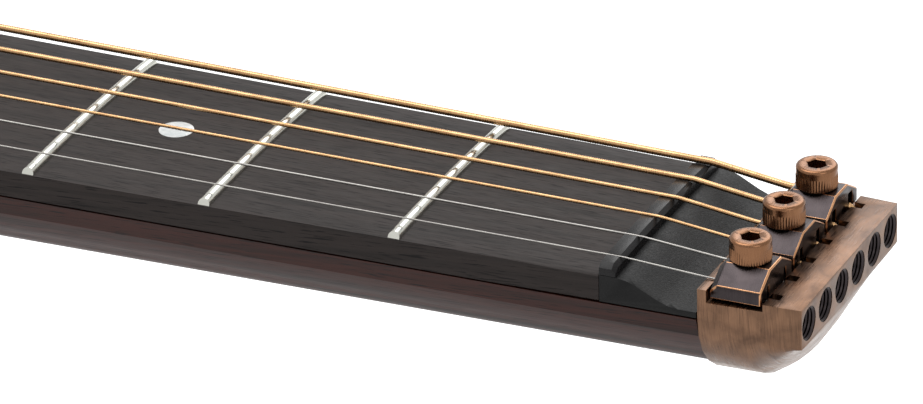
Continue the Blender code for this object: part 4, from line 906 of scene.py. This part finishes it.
@dataclass(frozen=True)
class GuitarString:
    """One string, plain or wound, from its ball in the headpiece to its ball at the tail."""

    number: int
    gauge: float
    wrap: float
    nut_pitch: float = 0.00732
    bridge_pitch: float = 0.0108
    samples: int = 3
    sides: int = 8
    plain_rings: int = 500
    bend: float = 0.0004
    sharp: float = 60.0
    nut_height: float = 0.00175
    nut_rear: float = 0.003
    nut_front: float = 0.0001
    action_treble: float = 0.0019
    action_bass: float = 0.0025
    compensation: float = 0.002
    saddle_half: float = 0.0015
    channel_floor: float = -0.0021
    channel_rear: float = 0.0283
    channel_margin: float = 0.0003
    bar_step: float = 0.00075
    lip_front: float = 0.0172
    lip_rear: float = 0.0187
    lip_height: float = 0.00035
    head_ball: float = 0.0316
    guide_entry: float = 0.006
    guide_top: float = 0.002
    guide_exit_x: float = -0.6732
    guide_exit_height: float = -0.0031
    carriage_front: float = -0.8371
    carriage_room: float = 0.008
    tail_ball: float = -0.8418
    tuner_height: float = 0.0005
    ball_radius: float = 0.0019
    ball_length: float = 0.0028
    ball_waist: float = 0.85
    ball_bore: float = 0.35
    ball_rim: float = 0.8
    ball_groove: float = 0.45
    ball_steps: int = 24
    ridge: float = 0.11

    def route(self) -> list[Triple]:
        """Points of the centre line in neck coordinates.

        Returns:
            The points from the head's ball to the tail's.
        """
        radius = self.gauge / 2
        pitches = (HEAD_PITCH, self.nut_pitch, self.bridge_pitch)
        head, nut, tail = (string_y(self.number, pitch) for pitch in pitches)
        nut_floor = self.nut_height - camber_drop(nut)
        share = (self.number - 1) / (STRINGS - 1)
        action = self.action_treble + (self.action_bass - self.action_treble) * share
        twelfth = FRET_HEIGHT - camber_drop((nut + tail) / 2) + action
        reach = SCALE_LENGTH + self.compensation
        saddle = nut_floor + (twelfth - nut_floor) * 2 * reach / SCALE_LENGTH + radius
        floor = self.channel_floor + radius
        return [
            (self.head_ball, head, STRING_HOLE_HEIGHT),
            (self.channel_rear + self.bar_step, head, (STRING_HOLE_HEIGHT + floor) / 2),
            (self.channel_rear - self.channel_margin, head, floor),
            (self.lip_rear, head, self.lip_height),
            (self.lip_front, head, self.lip_height),
            (self.nut_rear, nut, nut_floor + radius),
            (self.nut_front, nut, nut_floor + radius),
            (self.saddle_half - reach, tail, saddle),
            (-self.saddle_half - reach, tail, saddle),
            (-self.guide_entry - reach, tail, self.guide_top),
            (self.guide_exit_x, tail, self.guide_exit_height),
            (self.carriage_front, tail, self.tuner_height),
            (self.tail_ball, tail, self.tuner_height),
        ]

    def tube(self) -> bpy.types.Object:
        """The wire: a grid rolled round the route, with a helical ridge where it is wound.

        Returns:
            The wire, in world coordinates.
        """
        points = np.array(self.route())
        runs = np.linalg.norm(np.diff(points, axis=0), axis=1)
        along = np.concatenate(([0.0], np.cumsum(runs)))
        length = along[-1]
        rings = int(length / self.wrap * self.samples) if self.wrap else self.plain_rings
        bm = bmesh.new()
        bmesh.ops.create_grid(bm, x_segments=rings, y_segments=self.sides, size=1)
        mesh = bpy.data.meshes.new(f"string_{self.number}_wire")
        bm.to_mesh(mesh)
        flat = np.zeros((len(mesh.vertices), 3))
        mesh.vertices.foreach_get("co", flat.ravel())
        share, turn = ((flat[:, axis] + 1) / 2 for axis in (0, 1))
        place = share * length
        ahead, behind = (self.at(along, points, place + step) for step in (self.bend, -self.bend))
        centre = (ahead + behind) / 2
        tangent = (ahead - behind) / np.linalg.norm(ahead - behind, axis=1)[:, None]
        side = np.cross((0.0, 0.0, 1.0), tangent)
        side /= np.linalg.norm(side, axis=1)[:, None]
        up = np.cross(tangent, side)
        reach = np.full(len(place), self.gauge / 2)
        if self.wrap:
            reach *= 1 - self.ridge * (0.5 + 0.5 * np.cos(2 * math.pi * (place / self.wrap - turn)))
        angle = 2 * math.pi * turn
        shape = centre + reach[:, None] * (np.cos(angle)[:, None] * side + np.sin(angle)[:, None] * up)
        mesh.vertices.foreach_set("co", shape.ravel())
        bm.clear()
        bm.from_mesh(mesh)
        bpy.data.meshes.remove(mesh)
        bmesh.ops.remove_doubles(bm, verts=bm.verts, dist=MERGE_DISTANCE / 2)
        bmesh.ops.holes_fill(bm, edges=[edge for edge in bm.edges if edge.is_boundary])
        finish = PALETTE.bronze if self.wrap else PALETTE.steel
        return to_object(f"string_{self.number}_wire", in_neck(bm), [finish], self.sharp)

    def at(self, along: np.ndarray, points: np.ndarray, place: np.ndarray) -> np.ndarray:
        """Points on the route at distances along it.

        Args:
            along: distance of each route point from the start.
            points: the route's points.
            place: distances to read.

        Returns:
            One point for each distance.
        """
        first, last = points[0], points[-1]
        read = np.stack([np.interp(place, along, points[:, axis]) for axis in range(3)], axis=1)
        before = np.minimum(place, 0.0)[:, None]
        after = np.maximum(place - along[-1], 0.0)[:, None]
        step_in = (points[1] - first) / np.linalg.norm(points[1] - first)
        step_out = (last - points[-2]) / np.linalg.norm(last - points[-2])
        return read + before * step_in + after * step_out

    def ball(self, name: str, centre: Triple) -> bpy.types.Object:
        """A grooved brass barrel on a string's end.

        Args:
            name: the piece's name.
            centre: its middle, in neck coordinates.

        Returns:
            The barrel, in world coordinates.
        """
        radius, half = self.ball_radius, self.ball_length / 2
        waist, bore = radius * self.ball_waist, radius * self.ball_bore
        rim, groove = half * self.ball_rim, half * self.ball_groove
        front = [(bore, half), (waist, half), (radius, rim), (radius, groove)]
        rear = [(reach, -level) for reach, level in reversed(front)]
        bm = spun([*front, (waist, 0), *rear], self.ball_steps)
        return to_object(name, in_neck(bm, Matrix.Translation(centre) @ LIE_ALONG), [PALETTE.bronze])

    def build(self) -> None:
        """Make the wire and its two balls."""
        wire = self.tube()
        carriage = body_of(f"tuner_carriage_{self.number}")
        route = self.route()
        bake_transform(wire)
        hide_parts(f"string_{self.number}")
        LOG.info("%s: %d faces from root to %s", wire.name, len(wire.data.polygons), carriage)
        dress(self.ball(f"string_{self.number}_head_ball", route[0]), "root", Slot.BRONZE)
        dress(self.ball(f"string_{self.number}_tail_ball", route[-1]), carriage, Slot.BRONZE)


@dataclass(frozen=True)
class StringSet:
    """Six strings, two plain and four wound."""

    gauges: tuple[float, ...] = (0.000305, 0.000406, 0.00061, 0.000813, 0.001067, 0.001346)
    wraps: tuple[float, ...] = (0.0, 0.0, 0.00024, 0.00029, 0.00037, 0.00045)

    def build(self) -> None:
        """Make all six."""
        for number, (gauge, wrap) in enumerate(zip(self.gauges, self.wraps), start=1):
            GuitarString(number, gauge, wrap).build()


@dataclass(frozen=True)
class Body:
    """The sound box, its trim and the neck."""

    hole_radius: float = 0.05
    ring_gap: float = 0.0045
    rings: tuple[tuple[float, bool], ...] = ((0.0005, False), (0.0007, True), (0.0005, False),
                                             (0.0026, True), (0.0005, False), (0.0007, True),
                                             (0.0005, False))
    ring_rise: float = 0.00006
    ring_depth: float = 0.0003
    ring_steps: int = 160
    centre_band: float = 0.005

    def hole_centre(self) -> Vector:
        """Find the sound hole's middle, where its rim crosses the board's centre line.

        Returns:
            The middle on the board's top, in neck coordinates.
        """
        inverse = NECK.inverted()
        points = [inverse @ vert.co for vert in frame["nodes"]["soundboard"].data.vertices]
        top = max(point.z for point in points)
        crossings = sorted(point.x for point in points
                           if abs(point.y) < self.centre_band and abs(point.z - top) < self.ring_depth)
        return Vector(((crossings[0] + crossings[-1]) / 2, 0, top))

    def rosette(self) -> None:
        """Plain rings let into the soundboard round the sound hole."""
        place = Matrix.Translation(self.hole_centre())
        inner = self.hole_radius + self.ring_gap
        for number, (width, pale) in enumerate(self.rings, start=1):
            outer = inner + width
            bm = spun([(inner, -self.ring_depth), (outer, -self.ring_depth), (outer, self.ring_rise),
                       (inner, self.ring_rise)], self.ring_steps)
            finish = PALETTE.pearl if pale else PALETTE.black
            item = to_object(f"rosette_ring_{number}", in_neck(bm, place), [finish])
            dress(item, "root", Slot.BONE if pale else Slot.BLACK)
            inner = outer

    def build(self) -> None:
        """Dress the neck, box and trim."""
        for node, slot in (("soundboard", Slot.SPRUCE), ("back_plate", Slot.ROSEWOOD),
                           ("side_treble", Slot.ROSEWOOD), ("side_bass", Slot.ROSEWOOD),
                           ("top_binding", Slot.BLACK), ("back_binding", Slot.BLACK),
                           ("neck", Slot.MAHOGANY), ("end_pin", Slot.BLACK)):
            Refined(node, slot).build()
        Refined("bridge", Slot.EBONY, 0.0005, least=0.003).build()
        Refined("saddle", Slot.BONE, 0.0002, least=0.002).build()
        Refined("pickguard", Slot.BLACK, 0.00025, least=0.002, angle=60.0).build()
        self.rosette()


@dataclass(frozen=True)
class HeadEnd:
    """The nut, the scooped ramp and the headpiece with its threaded string holes."""

    end: float = 0.0349
    hole_depth: float = 0.0048
    hole_radius: float = 0.0029
    thread_pitch: float = 0.0006
    thread_depth: float = 0.00028
    thread_stops: tuple[float, float] = (0.1, 0.5)
    thread_steps: int = 40
    clearance: float = 0.00004

    def thread(self, number: int) -> None:
        """A dark threaded lining in one string hole.

        Args:
            number: the string's number, from 1 on the treble side.
        """
        outer, pitch, depth = self.hole_radius - self.clearance, self.thread_pitch, self.thread_depth
        turns = int(self.hole_depth / pitch)
        profile = [(outer, 0.0)]
        for turn in range(turns):
            root, crest = (-(turn + stop) * pitch for stop in self.thread_stops)
            profile += [(outer - depth / 4, root), (outer - depth, crest)]
        profile.append((outer, -turns * pitch))
        centre = (self.end - pitch / 4, string_y(number, HEAD_PITCH), STRING_HOLE_HEIGHT)
        bm = in_neck(spun(profile, self.thread_steps), Matrix.Translation(centre) @ LIE_ALONG)
        item = to_object(f"string_hole_thread_{number}", bm, [PALETTE.gunmetal])
        dress(item, "root", Slot.GUNMETAL)

    def build(self) -> None:
        """Dress the three pieces and line the holes."""
        for number in range(1, STRINGS + 1):
            self.thread(number)
        Refined("nut", Slot.BLACK, 0.00012, least=0.0012).build()
        Refined("string_ramp", Slot.TEXTURE, 0.0002, least=0.003, angle=50.0).build()
        Refined("headpiece", Slot.COPPER, 0.0003, least=0.0016, worn=PALETTE.worn, angle=38.0).build()


def dress_inner_nodes() -> None:
    """Give every node that still shows the finish of its slot."""
    for row in frame["record"]["subparts"]:
        node = frame["nodes"][row["node"]]
        if not node.hide_render:
            node.data.materials.clear()
            node.data.materials.append(PALETTE.get(SLOT_FINISHES[Slot(row["material_slot"])]))
            LOG.info("%s keeps its own mesh", node.name)


@dataclass(frozen=True)
class Lamp:
    """A square soft light: its name, place, side in metres and power in watts."""

    name: str
    place: Triple
    side: float
    power: float

    def build(self, target: Vector) -> None:
        """Hang the lamp.

        Args:
            target: the point that it faces.
        """
        data = bpy.data.lights.new(self.name, "AREA")
        data.size = self.side
        data.energy = self.power
        item = add_object(self.name, data)
        item.location = self.place
        item.rotation_mode = "QUATERNION"
        item.rotation_quaternion = (target - Vector(self.place)).to_track_quat("-Z", "Y")


@dataclass(frozen=True)
class Studio:
    """Floor, light and camera."""

    focal_pixels: float = 7716.19
    place: Triple = (0.44722, -1.03624, 0.56312)
    azimuth: float = 24.917
    elevation: float = 26.392
    roll: float = -1.368
    sensor: float = 36.0
    floor_size: float = 14.0
    floor_drop: float = 0.0003
    floor_colour: Triple = (0.84, 0.84, 0.84)
    floor_glow: float = 0.55
    world_level: float = 0.3
    lit_place: Triple = (-0.2, 0.0, 0.0)
    lamps: tuple[Lamp, ...] = (Lamp("key_light", (-0.3, 0.1, 2.4), 1.8, 42.0),
                               Lamp("fill_light", (1.9, -0.9, 1.2), 1.0, 6.0),
                               Lamp("back_light", (0.2, 2.2, 1.6), 1.4, 18.0))

    def seen_ray(self, tree: bpy.types.NodeTree) -> Socket:
        """Tell the rays that see the room from the rays that light the guitar.

        Args:
            tree: the node tree to build in.

        Returns:
            A socket that is one for camera, glossy and transmission rays, and zero for the rest.
        """
        path = tree.nodes.new("ShaderNodeLightPath")
        total = path.outputs["Is Camera Ray"]
        for name in ("Is Glossy Ray", "Is Transmission Ray"):
            highest = tree.nodes.new("ShaderNodeMath")
            highest.operation = "MAXIMUM"
            tree.links.new(total, highest.inputs[0])
            tree.links.new(path.outputs[name], highest.inputs[1])
            total = highest.outputs[0]
        return total

    def scaled(self, tree: bpy.types.NodeTree, value: Socket, low: float, high: float) -> Socket:
        """Turn 0 into one level and 1 into another.

        Args:
            tree: the node tree to build in.
            value: socket of the value.
            low: result for 0.
            high: result for 1.

        Returns:
            The result's socket.
        """
        node = tree.nodes.new("ShaderNodeMapRange")
        node.inputs["To Min"].default_value = low
        node.inputs["To Max"].default_value = high
        tree.links.new(value, node.inputs["Value"])
        return node.outputs["Result"]

    def floor(self) -> None:
        """A pale floor that stays white to the camera and keeps its shadow."""
        bm = bmesh.new()
        bmesh.ops.create_grid(bm, x_segments=1, y_segments=1, size=self.floor_size)
        mesh = bpy.data.meshes.new("floor")
        bm.to_mesh(mesh)
        bm.free()
        made = bpy.data.materials.new("pale_floor")
        made.use_nodes = True
        tree = made.node_tree
        tree.nodes.clear()
        matt = tree.nodes.new("ShaderNodeBsdfDiffuse")
        matt.inputs["Color"].default_value = (*self.floor_colour, 1.0)
        glow = tree.nodes.new("ShaderNodeEmission")
        tree.links.new(self.scaled(tree, self.seen_ray(tree), 0.0, self.floor_glow), glow.inputs["Strength"])
        both = tree.nodes.new("ShaderNodeAddShader")
        tree.links.new(matt.outputs[0], both.inputs[0])
        tree.links.new(glow.outputs[0], both.inputs[1])
        out = tree.nodes.new("ShaderNodeOutputMaterial")
        tree.links.new(both.outputs[0], out.inputs["Surface"])
        mesh.materials.append(made)
        item = add_object("floor", mesh)
        item.location.z = -self.floor_drop

    def world(self) -> None:
        """An even room that shows white behind the guitar."""
        made = bpy.data.worlds.new("studio")
        bpy.context.scene.world = made
        made.use_nodes = True
        tree = made.node_tree
        level = self.scaled(tree, self.seen_ray(tree), self.world_level, 1.0)
        sky = tree.nodes["Background"]
        sky.inputs["Color"].default_value = (1.0, 1.0, 1.0, 1.0)
        tree.links.new(level, sky.inputs["Strength"])

    def camera(self) -> None:
        """The photograph's camera."""
        turn, tilt, roll = (math.radians(value) for value in (self.azimuth, self.elevation, self.roll))
        level = Vector((math.cos(turn), math.sin(turn), 0))
        back = Vector((math.sin(turn) * math.cos(tilt), -math.cos(turn) * math.cos(tilt), math.sin(tilt)))
        upright = back.cross(level)
        right = math.cos(roll) * level + math.sin(roll) * upright
        above = math.cos(roll) * upright - math.sin(roll) * level
        placed = Matrix((right, above, back)).transposed().to_4x4()
        placed.translation = Vector(self.place)
        data = bpy.data.cameras.new("camera")
        data.sensor_width = self.sensor
        data.lens = self.focal_pixels * self.sensor / IMAGE_WIDTH
        item = add_object("camera", data)
        item.matrix_world = NECK @ placed
        bpy.context.scene.camera = item

    def build(self) -> None:
        """Set the stage."""
        bpy.context.scene.view_settings.view_transform = "Standard"
        self.floor()
        self.world()
        for lamp in self.lamps:
            lamp.build(NECK @ Vector(self.lit_place))
        self.camera()


def main() -> None:
    """Build every sub-assembly in order, light it and place the camera."""
    logging.basicConfig(level=logging.INFO, format="%(message)s")
    Studio().build()
    Fingerboard().build()
    HeadEnd().build()
    StringClamps().build()
    StringSet().build()
    Body().build()
    TailTuners().build()
    dress_inner_nodes()


if __name__ == "__main__":
    main()
